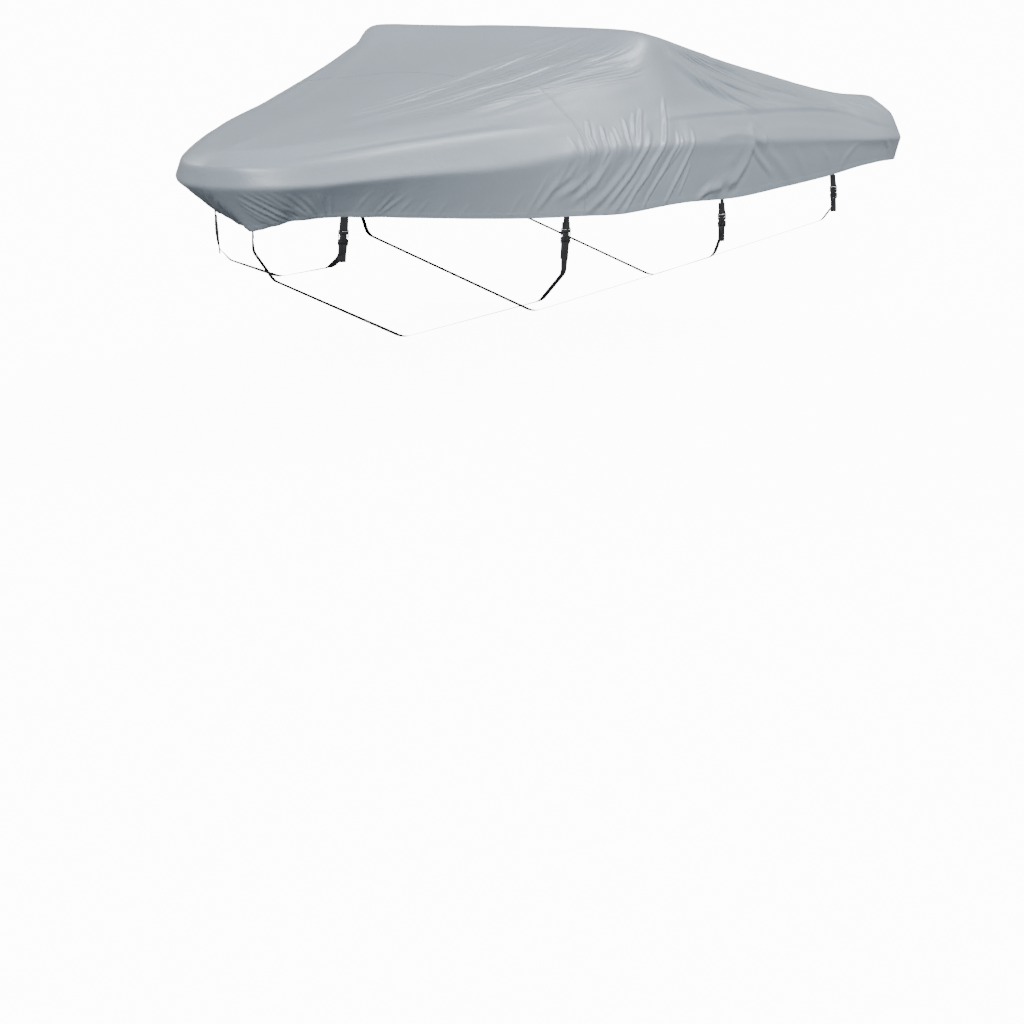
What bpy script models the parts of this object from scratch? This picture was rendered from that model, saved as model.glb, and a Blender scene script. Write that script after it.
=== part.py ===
"""Fitted boat cover with four belly straps.

The cloth lies as it does over a small runabout: low over the foredeck, up over a
windscreen, down over the cockpit to the stern, and round the gunwale to a gathered hem.
Bow towards -X, port side towards -Y, +Z up, metres.  The origin is the underside of the
cloth at the middle of the windscreen crest, where the boat carries it.

The surface is a table of offsets, as a boat builder writes one.  Five lines run from the
stem along the port side to the middle of the transom: hem, gunwale, deck edge, ridge and
spine.  A point is found by its run, the distance along the gunwale from the stem, and its
girth, the distance up the section from the hem.  The starboard side is the mirror image
of the port side, and the folds are laid on each side by hand.
"""
from collections import namedtuple

import bmesh
import bpy
import numpy as np

# ------------------------------------------------------------------ driving dimensions
CLOTH_THICKNESS = 0.002
PANEL_GAP = 0.0003            # between the two panels along their seam
SEAT_GAP = 0.0003             # between a sewn or fitted piece and what carries it

GIRTH_LINES = (0.0, 0.24, 0.40, 0.80, 1.50)      # hem, gunwale, deck edge, ridge, spine
ROUNDING = (0.03, 0.035, 0.07, 0.09, 0.20)       # half girth over which each line is rounded
SPINE = GIRTH_LINES[-1]
FULL_GIRTH = 2 * SPINE                           # port hem over the spine to starboard hem

WEB_WIDTH = 0.038
WEB_THICKNESS = 0.002
TAB_SEWN = 0.05               # girth of the tab that is sewn behind the hem
BUCKLE_WIDTH = 0.048
BUCKLE_THICKNESS = 0.012
PLUG_LENGTH = 0.022
SOCKET_LENGTH = 0.050
PRONG_LENGTH = 0.016          # side prong of the plug, in a notch of the socket
PRONG_WIDTH = 0.006
NOTCH_DEPTH = 0.008
SIDE_RADIUS = 0.06            # of the belly strap over the side, the chine and the keel
CHINE_RADIUS = 0.07
KEEL_RADIUS = 0.12

# ------------------------------------------------------------------ table of offsets
# aft: from the stem; out: half breadth; up: above the lowest point of the hem
Offset = namedtuple("Offset", "aft out up")
Station = namedtuple("Station", "name hem gunwale deck ridge spine")
STATIONS = tuple(Station(name, *(Offset(*row) for row in rows)) for name, rows in (
    ("stem", ((0.240, 0.000, 0.010), (0.000, 0.000, 0.211), (-0.010, 0.000, 0.295),
              (0.050, 0.000, 0.360), (0.150, 0.0, 0.390))),
    ("nose", ((0.257, 0.060, 0.023), (0.020, 0.140, 0.211), (0.020, 0.130, 0.297),
              (0.090, 0.090, 0.365), (0.200, 0.0, 0.397))),
    ("lip", ((0.280, 0.130, 0.045), (0.100, 0.275, 0.214), (0.110, 0.260, 0.305),
             (0.170, 0.180, 0.375), (0.270, 0.0, 0.407))),
    ("cheek", ((0.360, 0.270, 0.068), (0.280, 0.435, 0.227), (0.290, 0.400, 0.323),
               (0.330, 0.290, 0.397), (0.400, 0.0, 0.431))),
    ("forward", ((0.630, 0.480, 0.057), (0.600, 0.610, 0.245), (0.600, 0.555, 0.357),
                 (0.610, 0.420, 0.437), (0.640, 0.0, 0.473))),
    ("foredeck", ((1.060, 0.725, 0.025), (1.050, 0.800, 0.256), (1.050, 0.730, 0.397),
                  (1.050, 0.570, 0.493), (1.060, 0.0, 0.539))),
    ("seam", ((1.570, 0.905, 0.003), (1.570, 0.940, 0.293), (1.570, 0.855, 0.417),
              (1.570, 0.670, 0.581), (1.570, 0.0, 0.635))),
    ("dash", ((2.080, 1.000, 0.004), (2.080, 1.030, 0.290), (2.080, 0.935, 0.419),
              (2.080, 0.745, 0.689), (2.080, 0.0, 0.727))),
    ("cowl", ((2.270, 1.022, 0.008), (2.270, 1.053, 0.288), (2.270, 0.950, 0.416),
              (2.270, 0.770, 0.746), (2.270, 0.0, 0.776))),
    ("screen", ((2.413, 1.040, 0.013), (2.413, 1.070, 0.286), (2.413, 0.960, 0.413),
                (2.413, 0.795, 0.811), (2.413, 0.0, 0.826))),
    ("lee", ((2.560, 1.052, 0.013), (2.560, 1.080, 0.281), (2.560, 0.968, 0.410),
             (2.560, 0.797, 0.797), (2.560, 0.0, 0.812))),
    ("helm", ((2.900, 1.070, 0.011), (2.900, 1.100, 0.268), (2.900, 0.980, 0.403),
              (2.900, 0.800, 0.729), (2.900, 0.0, 0.740))),
    ("seat", ((3.400, 1.085, 0.032), (3.400, 1.115, 0.241), (3.400, 0.985, 0.391),
              (3.400, 0.800, 0.645), (3.400, 0.0, 0.653))),
    ("well", ((3.950, 1.090, 0.044), (3.950, 1.120, 0.211), (3.950, 0.990, 0.367),
              (3.950, 0.820, 0.551), (3.950, 0.0, 0.560))),
    ("quarter", ((4.550, 1.090, 0.049), (4.550, 1.120, 0.174), (4.550, 1.005, 0.317),
                 (4.520, 0.880, 0.447), (4.470, 0.0, 0.466))),
    ("corner", ((5.150, 1.075, 0.030), (5.150, 1.105, 0.145), (5.150, 1.035, 0.277),
                (5.090, 0.925, 0.385), (4.950, 0.0, 0.408))),
    ("turn", ((5.370, 0.990, 0.020), (5.390, 1.020, 0.133), (5.370, 0.965, 0.269),
              (5.280, 0.860, 0.378), (5.080, 0.0, 0.403))),
    ("stern", ((5.435, 0.750, 0.015), (5.455, 0.760, 0.131), (5.425, 0.730, 0.265),
               (5.340, 0.650, 0.376), (5.140, 0.0, 0.402))),
    ("transom", ((5.445, 0.000, 0.015), (5.465, 0.000, 0.131), (5.435, 0.000, 0.265),
                 (5.350, 0.000, 0.375), (5.160, 0.0, 0.401))),
))

# ------------------------------------------------------------------ folds of the cloth
# A fold runs straight from one (run, girth) to another and grows from one half width to
# the other; a negative height is a trough.
Fold = namedtuple("Fold", "run girth to_run to_girth width to_width height")
PORT_FOLDS = tuple(Fold(*row) for row in (
    # fan from the port corner of the windscreen across the foredeck
    (2.76, 0.90, 0.85, 1.10, 0.035, 0.060, 0.009),
    (2.74, 0.84, 1.15, 0.98, 0.035, 0.050, 0.007),
    (2.74, 0.75, 1.05, 0.78, 0.035, 0.055, 0.009),
    (2.70, 0.68, 1.35, 0.66, 0.035, 0.050, 0.007),
    (2.70, 0.60, 1.80, 0.57, 0.035, 0.045, 0.006),
    (2.76, 0.95, 1.60, 1.28, 0.040, 0.060, -0.006),
    # aft from the same corner down the cockpit slope
    (3.00, 0.66, 3.68, 0.42, 0.035, 0.050, 0.010),
    (3.45, 0.80, 4.60, 0.50, 0.040, 0.060, 0.009),
    (3.45, 0.69, 3.85, 0.55, 0.040, 0.055, 0.007),
    (4.85, 0.58, 5.37, 0.37, 0.040, 0.055, 0.009),
    (3.20, 0.72, 4.90, 0.72, 0.060, 0.080, -0.008),
    # pleats over the gunwale, each running on down the skirt towards the bow
    (2.83, 0.34, 2.56, 0.02, 0.035, 0.045, 0.011),
    (2.69, 0.38, 2.26, 0.02, 0.035, 0.050, 0.012),
    (2.50, 0.40, 2.10, 0.03, 0.035, 0.045, 0.010),
    (2.30, 0.38, 1.90, 0.02, 0.035, 0.050, 0.012),
    (2.08, 0.36, 1.74, 0.04, 0.035, 0.045, 0.009),
    (1.88, 0.32, 1.62, 0.06, 0.035, 0.040, 0.007),
    # slack bulge beside the third strap, and the ridge that leaves it
    (3.40, 0.31, 3.60, 0.20, 0.050, 0.050, 0.012),
    (3.46, 0.24, 2.92, 0.02, 0.040, 0.050, 0.010),
    (4.30, 0.26, 5.20, 0.20, 0.060, 0.050, 0.006),
))
STARBOARD_FOLDS = tuple(Fold(*row) for row in (
    (2.76, 0.88, 1.20, 1.05, 0.035, 0.055, 0.006),
    (2.72, 0.74, 1.40, 0.80, 0.035, 0.055, 0.008),
    (2.70, 0.62, 1.60, 0.60, 0.035, 0.050, 0.006),
    (3.02, 0.68, 3.90, 0.44, 0.035, 0.055, 0.009),
    (3.40, 0.78, 4.75, 0.54, 0.040, 0.060, 0.008),
    (4.80, 0.60, 5.30, 0.38, 0.040, 0.055, 0.009),
    (2.78, 0.36, 2.45, 0.02, 0.035, 0.050, 0.010),
    (2.55, 0.38, 2.12, 0.03, 0.035, 0.050, 0.011),
    (2.22, 0.37, 1.86, 0.03, 0.035, 0.050, 0.010),
    (1.98, 0.33, 1.66, 0.05, 0.035, 0.045, 0.008),
    (3.62, 0.30, 3.10, 0.03, 0.045, 0.055, 0.011),
    (4.45, 0.27, 5.10, 0.20, 0.060, 0.055, 0.006),
))
# A hollow or swelling of the cloth about one place, as a smooth dish.
Dish = namedtuple("Dish", "run girth radius height")
PORT_DISHES = tuple(Dish(*row) for row in (
    (2.84, 0.78, 0.14, -0.012),      # worn-down port corner of the windscreen
    (3.90, 1.10, 0.55, -0.012),      # sag of the cockpit slope
    (1.20, 0.62, 0.35, -0.006),
    (3.95, 0.33, 0.40, 0.006),
))
STARBOARD_DISHES = tuple(Dish(*row) for row in (
    (2.79, 0.80, 0.28, 0.016),       # sharper starboard corner of the windscreen
    (1.55, 0.72, 0.45, -0.022),      # slack foredeck
    (0.75, 0.58, 0.40, -0.010),
    (3.90, 1.15, 0.60, -0.014),
    (4.20, 0.33, 0.45, 0.005),
))
# Gathers of the drawn hem round the bow: waves along the run that die out above the
# gunwale and aft of the first strap.
Gather = namedtuple("Gather", "wave_length phase height")
GATHERS = tuple(Gather(*row) for row in ((0.250, 0.4, 0.0050), (0.163, 1.9, 0.0035)))
GATHER_RUN = 1.5
GATHER_GIRTH = 0.22

# ------------------------------------------------------------------ where the mesh is cut
SEAM_STATION = "seam"
CREST_STATION = "screen"
# run at each end of a stretch and how many strips it is cut into
BOW_STRIPS = ((0.54, 10), (1.393, 14), (None, 12))
AFT_STRIPS = ((2.786, 18), (3.70, 12), (5.528, 16), (6.051, 8), (None, 6))
GIRTH_STEPS = (0.0, 0.05, 0.12, 0.19, 0.235, 0.28, 0.34, 0.40, 0.47, 0.55,
               0.63, 0.71, 0.79, 0.87, 0.96, 1.07, 1.20, 1.34, 1.50)

# ------------------------------------------------------------------ straps
# run at the hem, free length of the tab, turn of the buckle about the strap, and what the
# strap goes round below: half breadth and height of the side and the chine, height of the
# keel
Strap = namedtuple("Strap", "name run tab turn side_out side_up chine_out chine_up keel_up")
STRAPS = tuple(Strap(*row) for row in (
    ("bow", 0.66, 0.055, 0.0, 0.325, -0.096, 0.262, -0.148, -0.205),
    ("fore", 1.82, 0.050, 28.0, 0.858, -0.250, 0.740, -0.385, -0.610),
    ("mid", 3.14, 0.092, 30.0, 1.063, -0.185, 1.020, -0.300, -0.650),
    ("aft", 4.57, 0.105, 32.0, 1.098, -0.160, 1.030, -0.250, -0.620),
))

Finish = namedtuple("Finish", "colour roughness")
CLOTH_FINISH = Finish((0.40, 0.44, 0.47, 1.0), 0.62)
WEB_FINISH = Finish((0.018, 0.018, 0.020, 1.0), 0.80)
BUCKLE_FINISH = Finish((0.012, 0.012, 0.014, 1.0), 0.38)


# ------------------------------------------------------------------ the cloth as a function
MIRROR = np.array([1.0, -1.0, 1.0])
OFFSETS = np.array([station[1:] for station in STATIONS])
LINES = np.array(GIRTH_LINES)


def unit(vector):
    return vector / np.linalg.norm(vector, axis=-1, keepdims=True)


def gunwale_runs():
    """Distance along the gunwale from the stem to each station."""
    steps = np.linalg.norm(np.diff(OFFSETS[:, 1], axis=0), axis=1)
    return np.concatenate([[0.0], np.cumsum(steps)])


RUNS = gunwale_runs()
LAST_RUN = RUNS[-1]
RUN_AT = {station.name: run for station, run in zip(STATIONS, RUNS)}


def mirrored_table(margin=4):
    """The table carried on past the centre plane at both ends, so lines cross it square."""
    runs = np.concatenate([-RUNS[margin:0:-1], RUNS, 2 * LAST_RUN - RUNS[-2:-2 - margin:-1]])
    rows = np.concatenate([OFFSETS[margin:0:-1] * MIRROR, OFFSETS,
                           OFFSETS[-2:-2 - margin:-1] * MIRROR])
    return runs, rows


def spline_bends(knots, rows):
    """Second derivatives of the natural cubic spline through the rows."""
    count = len(knots)
    step = np.diff(knots)
    slope = np.diff(rows, axis=0) / step[:, None, None]
    matrix = np.eye(count)
    right = np.zeros(rows.shape)
    for i in range(1, count - 1):
        matrix[i, i - 1:i + 2] = step[i - 1], 2 * (step[i - 1] + step[i]), step[i]
        right[i] = 6 * (slope[i] - slope[i - 1])
    return np.linalg.solve(matrix, right.reshape(count, -1)).reshape(rows.shape)


KNOTS, KNOT_ROWS = mirrored_table()
KNOT_BENDS = spline_bends(KNOTS, KNOT_ROWS)


def lines_at(run):
    """The five lines at each run, from the cubic spline through the stations."""
    i = np.clip(np.searchsorted(KNOTS, run) - 1, 0, len(KNOTS) - 2)
    step = (KNOTS[i + 1] - KNOTS[i])[..., None, None]
    far = (run - KNOTS[i])[..., None, None] / step
    near = 1 - far
    bend = (near**3 - near) * KNOT_BENDS[i] + (far**3 - far) * KNOT_BENDS[i + 1]
    return near * KNOT_ROWS[i] + far * KNOT_ROWS[i + 1] + bend * step**2 / 6


def section_point(lines, girth, taps=9):
    """A point of the section: the polyline through the five lines, averaged over a short
    stretch of girth so that each corner is round."""
    reach = np.interp(girth, LINES, ROUNDING)
    weights = 1 + np.cos(np.pi * np.linspace(-1, 1, taps + 2)[1:-1])
    weights = weights / weights.sum()
    total = 0.0
    for offset, weight in zip(np.linspace(-1, 1, taps + 2)[1:-1], weights):
        at = girth + reach * offset
        over = at > SPINE
        at = np.where(over, FULL_GIRTH - at, at)
        j = np.clip(np.searchsorted(LINES, at) - 1, 0, len(LINES) - 2)
        share = ((at - LINES[j]) / (LINES[j + 1] - LINES[j]))[..., None]
        low = np.take_along_axis(lines, j[..., None, None], axis=-2)[..., 0, :]
        high = np.take_along_axis(lines, j[..., None, None] + 1, axis=-2)[..., 0, :]
        point = low + (high - low) * share
        total = total + weight * np.where(over[..., None], point * MIRROR, point)
    return total


def taut(run, girth):
    """The cloth with no folds, in the part's axes before the origin is set."""
    run, girth = np.broadcast_arrays(np.asarray(run, float), np.asarray(girth, float))
    starboard = girth > SPINE
    point = section_point(lines_at(run), np.where(starboard, FULL_GIRTH - girth, girth))
    point = np.where(starboard[..., None], point * MIRROR, point)
    return point * MIRROR            # half breadths to port are towards -Y


def taut_normal(run, girth, step=0.004):
    """Outward unit normal of the cloth with no folds, by differences.  The spine turns
    back on itself at both ends, so there it is taken one step further in."""
    on_spine = np.abs(girth - SPINE) < step
    run = np.where(on_spine, np.clip(run, step, LAST_RUN - step), run)
    along = taut(run + step, girth) - taut(run - step, girth)
    up = taut(run, girth + step) - taut(run, girth - step)
    return unit(np.cross(along, up))


def fold_height(run, girth, fold):
    """A rounded ridge or trough along a straight line in run and girth."""
    du, dv = fold.to_run - fold.run, fold.to_girth - fold.girth
    length = np.hypot(du, dv)
    along = ((run - fold.run) * du + (girth - fold.girth) * dv) / length**2
    across = ((run - fold.run) * dv - (girth - fold.girth) * du) / length
    inside = np.clip(along, 0, 1)
    width = fold.width + (fold.to_width - fold.width) * inside
    past = (along - inside) * length
    ends = np.clip(4 * inside * (1 - inside) + 0.25, 0, 1)
    return fold.height * ends * np.exp(-(across / width)**2 - (past / width)**2)


def dish_height(run, girth, dish):
    away = ((run - dish.run)**2 + (girth - dish.girth)**2) / dish.radius**2
    return dish.height * np.exp(-away)


def gather_height(signed_run, girth):
    """Waves of the drawn hem, strongest at the hem by the stem."""
    fade = np.clip(1 - np.abs(signed_run) / GATHER_RUN, 0, 1)
    fade = fade * np.exp(-(girth / GATHER_GIRTH)**2)
    waves = [g.height * np.cos(2 * np.pi * signed_run / g.wave_length + g.phase) for g in GATHERS]
    return fade * sum(waves)


def relief(run, girth):
    """Height of all folds, dishes and gathers above the taut cloth."""
    starboard = girth > SPINE
    side_girth = np.where(starboard, FULL_GIRTH - girth, girth)
    port = sum(fold_height(run, side_girth, fold) for fold in PORT_FOLDS)
    port = port + sum(dish_height(run, side_girth, dish) for dish in PORT_DISHES)
    star = sum(fold_height(run, side_girth, fold) for fold in STARBOARD_FOLDS)
    star = star + sum(dish_height(run, side_girth, dish) for dish in STARBOARD_DISHES)
    to_starboard = 0.5 + 0.5 * np.tanh((girth - SPINE) / 0.15)
    ends = np.clip(np.minimum(run, LAST_RUN - run) / 0.25, 0, 1)
    signed_run = np.where(starboard, -run, run)
    folds = port * (1 - to_starboard) + star * to_starboard
    return folds * ends + gather_height(signed_run, side_girth)


def crest_origin():
    """Underside of the cloth at the middle of the windscreen crest."""
    run, girth = np.array(RUN_AT[CREST_STATION]), np.array(SPINE)
    height = relief(run, girth) - CLOTH_THICKNESS
    return taut(run, girth) + taut_normal(run, girth) * height


ORIGIN = crest_origin()


def cloth(run, girth):
    """Outer face of the folded cloth and its outward normals, in the part's frame."""
    run, girth = np.broadcast_arrays(np.asarray(run, float), np.asarray(girth, float))
    normal = taut_normal(run, girth)
    return taut(run, girth) + normal * relief(run, girth)[..., None] - ORIGIN, normal


# ------------------------------------------------------------------ meshes
def make_material(name, finish):
    material = bpy.data.materials.new(name)
    material.use_nodes = True
    shader = material.node_tree.nodes["Principled BSDF"]
    shader.inputs["Base Color"].default_value = finish.colour
    shader.inputs["Roughness"].default_value = finish.roughness
    shader.inputs["Metallic"].default_value = 0.0
    return material


def add_object(name, points, faces, finish, smooth=False):
    """One closed solid from its points and faces."""
    mesh = bpy.data.meshes.new(name)
    mesh.from_pydata([tuple(p) for p in points], [], faces)
    shell = bmesh.new()
    shell.from_mesh(mesh)
    bmesh.ops.recalc_face_normals(shell, faces=shell.faces)
    shell.to_mesh(mesh)
    shell.free()
    if smooth:
        mesh.shade_smooth()
    piece = bpy.data.objects.new(name, mesh)
    piece.data.materials.append(make_material(name, finish))
    bpy.context.collection.objects.link(piece)
    return piece


def tab_edges(strap):
    """Runs of the two edges of a tab, its width apart along the hem."""
    ends = np.array([strap.run - WEB_WIDTH / 2, strap.run + WEB_WIDTH / 2])
    hem = taut(ends, 0.0)
    stretch = WEB_WIDTH / np.linalg.norm(hem[1] - hem[0])
    return strap.run - WEB_WIDTH / 2 * stretch, strap.run + WEB_WIDTH / 2 * stretch


def strip_runs(start, strips, end):
    """Runs at which a panel is cut, each stretch in even strips.  The strip over a tab is
    cut at the tab's own edges, so that the tab lies flat against it."""
    runs = [start]
    for stop, count in strips:
        last = end if stop is None else stop
        runs.extend(np.linspace(runs[-1], last, count + 1)[1:])
    runs = np.array(runs)
    for strap in STRAPS:
        low, high = tab_edges(strap)
        if start < low and high < end:
            spare = 0.4 * np.diff(runs)[np.searchsorted(runs, low) - 1]
            keep = (runs < low - spare) | (runs > high + spare)
            runs = np.sort(np.concatenate([runs[keep], [low, high]]))
    return runs


def sheet_grid(runs, closed_edge):
    """Index of the point at each run and girth step.  At the stem or at the middle of the
    transom the port and starboard edges are one, so they share their points."""
    side = len(GIRTH_STEPS)
    rows, columns = len(runs), 2 * side - 1
    index = np.arange(rows * columns).reshape(rows, columns)
    index[closed_edge, side:] = index[closed_edge, side - 2::-1]
    return index


def add_panel(name, runs, closed_edge):
    """A panel of cloth: outer and inner face and a wall round the open edges."""
    girths = np.array(GIRTH_STEPS + tuple(FULL_GIRTH - g for g in GIRTH_STEPS[-2::-1]))
    outer, normal = cloth(runs[:, None], girths[None, :])
    inner = outer - normal * CLOTH_THICKNESS
    index = sheet_grid(runs, closed_edge)
    a, b = index[:-1, :-1].ravel(), index[1:, :-1].ravel()
    c, d = index[1:, 1:].ravel(), index[:-1, 1:].ravel()
    skin = np.concatenate([np.stack([a, b, c], 1), np.stack([a, c, d], 1)])
    skin = [t for t in skin.tolist() if len(set(t)) == 3]
    inside = index.size
    faces = skin + [[inside + k for k in reversed(t)] for t in skin]
    open_edge = -1 if closed_edge == 0 else 0
    for edge in (index[:, 0], index[:, -1], index[open_edge]):
        for p, q in zip(edge[:-1].tolist(), edge[1:].tolist()):
            faces += [[p, q, inside + q], [p, inside + q, inside + p]]
    points = np.concatenate([outer.reshape(-1, 3), inner.reshape(-1, 3)])
    used = np.unique(np.array(faces))
    renumber = np.zeros(len(points), int)
    renumber[used] = np.arange(len(used))
    faces = renumber[np.array(faces)].tolist()
    return add_object(name, points[used], faces, CLOTH_FINISH, smooth=True)


def add_cloth():
    seam = RUN_AT[SEAM_STATION]
    bow_runs = strip_runs(0.0, BOW_STRIPS, seam - PANEL_GAP / 2)
    aft_runs = strip_runs(seam + PANEL_GAP / 2, AFT_STRIPS, LAST_RUN)
    add_panel("cover_bow_panel", bow_runs, closed_edge=0)
    add_panel("cover_aft_panel", aft_runs, closed_edge=-1)


def web_ribs(centres, across, faces_out):
    """The four corners of flat webbing at each point of its path."""
    half_width = across * WEB_WIDTH / 2
    half_thick = faces_out * WEB_THICKNESS / 2
    return np.stack([centres - half_width - half_thick, centres + half_width - half_thick,
                     centres + half_width + half_thick, centres - half_width + half_thick], 1)


def add_web(name, ribs, rising=True):
    """Flat webbing through its ribs, closed at both ends.  Every quad is cut along one
    diagonal, the same way as the cloth above a sewn part is cut."""
    last = 4 * len(ribs) - 4
    faces = [[3, 2, 1, 0], [last, last + 1, last + 2, last + 3]]
    for i in range(0, last, 4):
        for k in range(4):
            p, q = i + k, i + (k + 1) % 4
            if (k < 2) != rising:
                faces += [[p, q, q + 4], [p, q + 4, p + 4]]
            else:
                faces += [[p, q, p + 4], [q, q + 4, p + 4]]
    return add_object(name, ribs.reshape(-1, 3), faces, WEB_FINISH)


def extruded(outline, holes, thickness):
    """A plate from an outline with rectangular holes, as points and triangles."""
    plate = bmesh.new()
    loops = []
    for ring in [outline] + holes:
        verts = [plate.verts.new((x, y, -thickness / 2)) for x, y in ring]
        loops += [plate.edges.new((verts[i - 1], verts[i])) for i in range(len(verts))]
    bmesh.ops.triangle_fill(plate, edges=loops, use_beauty=True)
    solid = bmesh.ops.extrude_face_region(plate, geom=plate.faces[:])
    lifted = [v for v in solid["geom"] if isinstance(v, bmesh.types.BMVert)]
    bmesh.ops.translate(plate, vec=(0, 0, thickness), verts=lifted)
    bmesh.ops.recalc_face_normals(plate, faces=plate.faces)
    plate.verts.index_update()
    points = np.array([v.co[:] for v in plate.verts])
    faces = [[v.index for v in f.verts] for f in plate.faces]
    plate.free()
    return points, faces


def plug_plate():
    """Upper half of the buckle: a bar frame for the tab, and two side prongs."""
    half = BUCKLE_WIDTH / 2
    prong_in = half - PRONG_WIDTH
    outline = [(-half, 0.0), (half, 0.0), (half, PLUG_LENGTH + PRONG_LENGTH),
               (prong_in, PLUG_LENGTH + PRONG_LENGTH), (prong_in, PLUG_LENGTH),
               (-prong_in, PLUG_LENGTH), (-prong_in, PLUG_LENGTH + PRONG_LENGTH),
               (-half, PLUG_LENGTH + PRONG_LENGTH)]
    slot = [(-0.020, 0.006), (0.020, 0.006), (0.020, 0.010), (-0.020, 0.010)]
    return extruded(outline, [slot], BUCKLE_THICKNESS)


def socket_plate():
    """Lower half of the buckle: a body with a notch at each side for a prong, and the
    bar slot of the belly strap."""
    half = BUCKLE_WIDTH / 2
    waist = half - NOTCH_DEPTH
    deep = PRONG_LENGTH + 0.004
    foot = half - 0.004
    outline = [(-waist, SEAT_GAP), (waist, SEAT_GAP), (waist, deep), (half, deep + 0.002),
               (half, SOCKET_LENGTH - 0.010), (foot, SOCKET_LENGTH), (-foot, SOCKET_LENGTH),
               (-half, SOCKET_LENGTH - 0.010), (-half, deep + 0.002), (-waist, deep)]
    slot = [(-0.0195, SOCKET_LENGTH - 0.010), (0.0195, SOCKET_LENGTH - 0.010),
            (0.0195, SOCKET_LENGTH - 0.006), (-0.0195, SOCKET_LENGTH - 0.006)]
    return extruded(outline, [slot], BUCKLE_THICKNESS)


def placed(plate, start, down, across, faces_out):
    """The points of a plate moved from its own axes to the strap's."""
    points, faces = plate
    world = start + points[:, :1] * across + points[:, 1:2] * down + points[:, 2:] * faces_out
    return world, faces


def rounded_path(corners, radii, arc_points=4):
    """A polyline with each inner corner replaced by an arc of its radius."""
    path = [corners[0]]
    for before, corner, after, radius in zip(corners, corners[1:], corners[2:], radii):
        back, ahead = unit(before - corner), unit(after - corner)
        half_angle = np.arccos(np.clip(back @ ahead, -1, 1)) / 2
        reach = radius / np.tan(half_angle)
        centre = corner + unit(back + ahead) * radius / np.sin(half_angle)
        first, last = corner + back * reach, corner + ahead * reach
        for share in np.linspace(0, 1, arc_points):
            spoke = (first - centre) * (1 - share) + (last - centre) * share
            path.append(centre + unit(spoke) * radius)
    path.append(corners[-1])
    return np.array(path)


def strap_frame(along, hint, side, degrees):
    """Width and face directions of a strap that runs along one way: its width as near to
    the hint as it can lie, its face outwards, both turned towards the bow."""
    across = unit(hint - along * (hint @ along))
    face = unit(np.cross(across, along)) * side
    angle = np.radians(degrees)
    return (across * np.cos(angle) + face * np.sin(angle),
            face * np.cos(angle) - across * np.sin(angle))


def sewn_ribs(strap, side):
    """The part of a tab behind the hem, the seat gap inside the cloth."""
    ribs = []
    for up in (TAB_SEWN, 0.0):
        girth = up if side < 0 else FULL_GIRTH - up
        point, normal = cloth(np.array(tab_edges(strap)), girth)
        near = point - normal * (CLOTH_THICKNESS + SEAT_GAP)
        far = near - normal * WEB_THICKNESS
        ribs.append([far[0], far[1], near[1], near[0]])
    return np.array(ribs)


def add_side_of_strap(strap, side):
    """Tab and buckle on one side; gives the belly strap's path from there to the chine,
    and the way its width lies."""
    label = f"{strap.name}_{'port' if side < 0 else 'starboard'}"
    sewn = sewn_ribs(strap, side)
    hem = sewn[-1].mean(axis=0)
    corners = [np.array([hem[0], side * out, up - ORIGIN[2]]) for out, up in
               ((strap.side_out, strap.side_up), (strap.chine_out, strap.chine_up))]
    down = unit(corners[0] - hem)
    hint = unit((sewn[-1][1] - sewn[-1][0]) * np.array([1.0, 1.0, 0.0]))
    free = []
    for share in (0.35, 0.70, 1.0):
        wide, out = strap_frame(down, hint, side, strap.turn * share)
        free.append(web_ribs((hem + down * strap.tab * share)[None], wide[None], out[None])[0])
    add_web(f"tab_{label}", np.concatenate([sewn, free]), rising=side < 0)
    top = hem + down * (strap.tab + SEAT_GAP)
    mouth = top + down * PLUG_LENGTH
    add_object(f"buckle_plug_{label}", *placed(plug_plate(), top, down, wide, out),
               BUCKLE_FINISH)
    add_object(f"buckle_socket_{label}", *placed(socket_plate(), mouth, down, wide, out),
               BUCKLE_FINISH)
    return [mouth + down * (SOCKET_LENGTH + SEAT_GAP)] + corners, hint


def add_belly_strap(strap, port, starboard):
    """Webbing from the port buckle round sides, chines and keel to the starboard one."""
    keel = np.array([port[0][0][0], 0.0, strap.keel_up - ORIGIN[2]])
    corners = port[0] + [keel] + starboard[0][::-1]
    path = rounded_path(corners, (SIDE_RADIUS, CHINE_RADIUS, KEEL_RADIUS, CHINE_RADIUS,
                                  SIDE_RADIUS))
    # the turn of the buckle runs out over the last stretch before the side
    ease = np.array([0.0, 0.5])
    first = path[0] + (path[1] - path[0]) * ease[:, None]
    last = path[-1] + (path[-2] - path[-1]) * ease[::-1, None]
    path = np.concatenate([first, path[1:-1], last])
    turns = np.zeros(len(path))
    turns[:2] = strap.turn * (1 - ease)
    turns[-2:] = turns[1::-1]
    along = unit(np.gradient(path, axis=0))
    straight = np.array([1.0, 0.0, 0.0])
    ribs = []
    for point, way, turn, share in zip(path, along, turns, np.linspace(-1, 1, len(path))):
        hint = (port if share < 0 else starboard)[1] * abs(share) + straight * (1 - abs(share))
        wide, out = strap_frame(way, hint, -1.0, turn)
        ribs.append(web_ribs(point[None], wide[None], out[None])[0])
    add_web(f"belly_strap_{strap.name}", np.array(ribs))


def add_straps():
    for strap in STRAPS:
        add_belly_strap(strap, *(add_side_of_strap(strap, side) for side in (-1.0, 1.0)))


def main():
    for old in list(bpy.data.objects):
        bpy.data.objects.remove(old, do_unlink=True)
    add_cloth()
    add_straps()


main()
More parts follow.
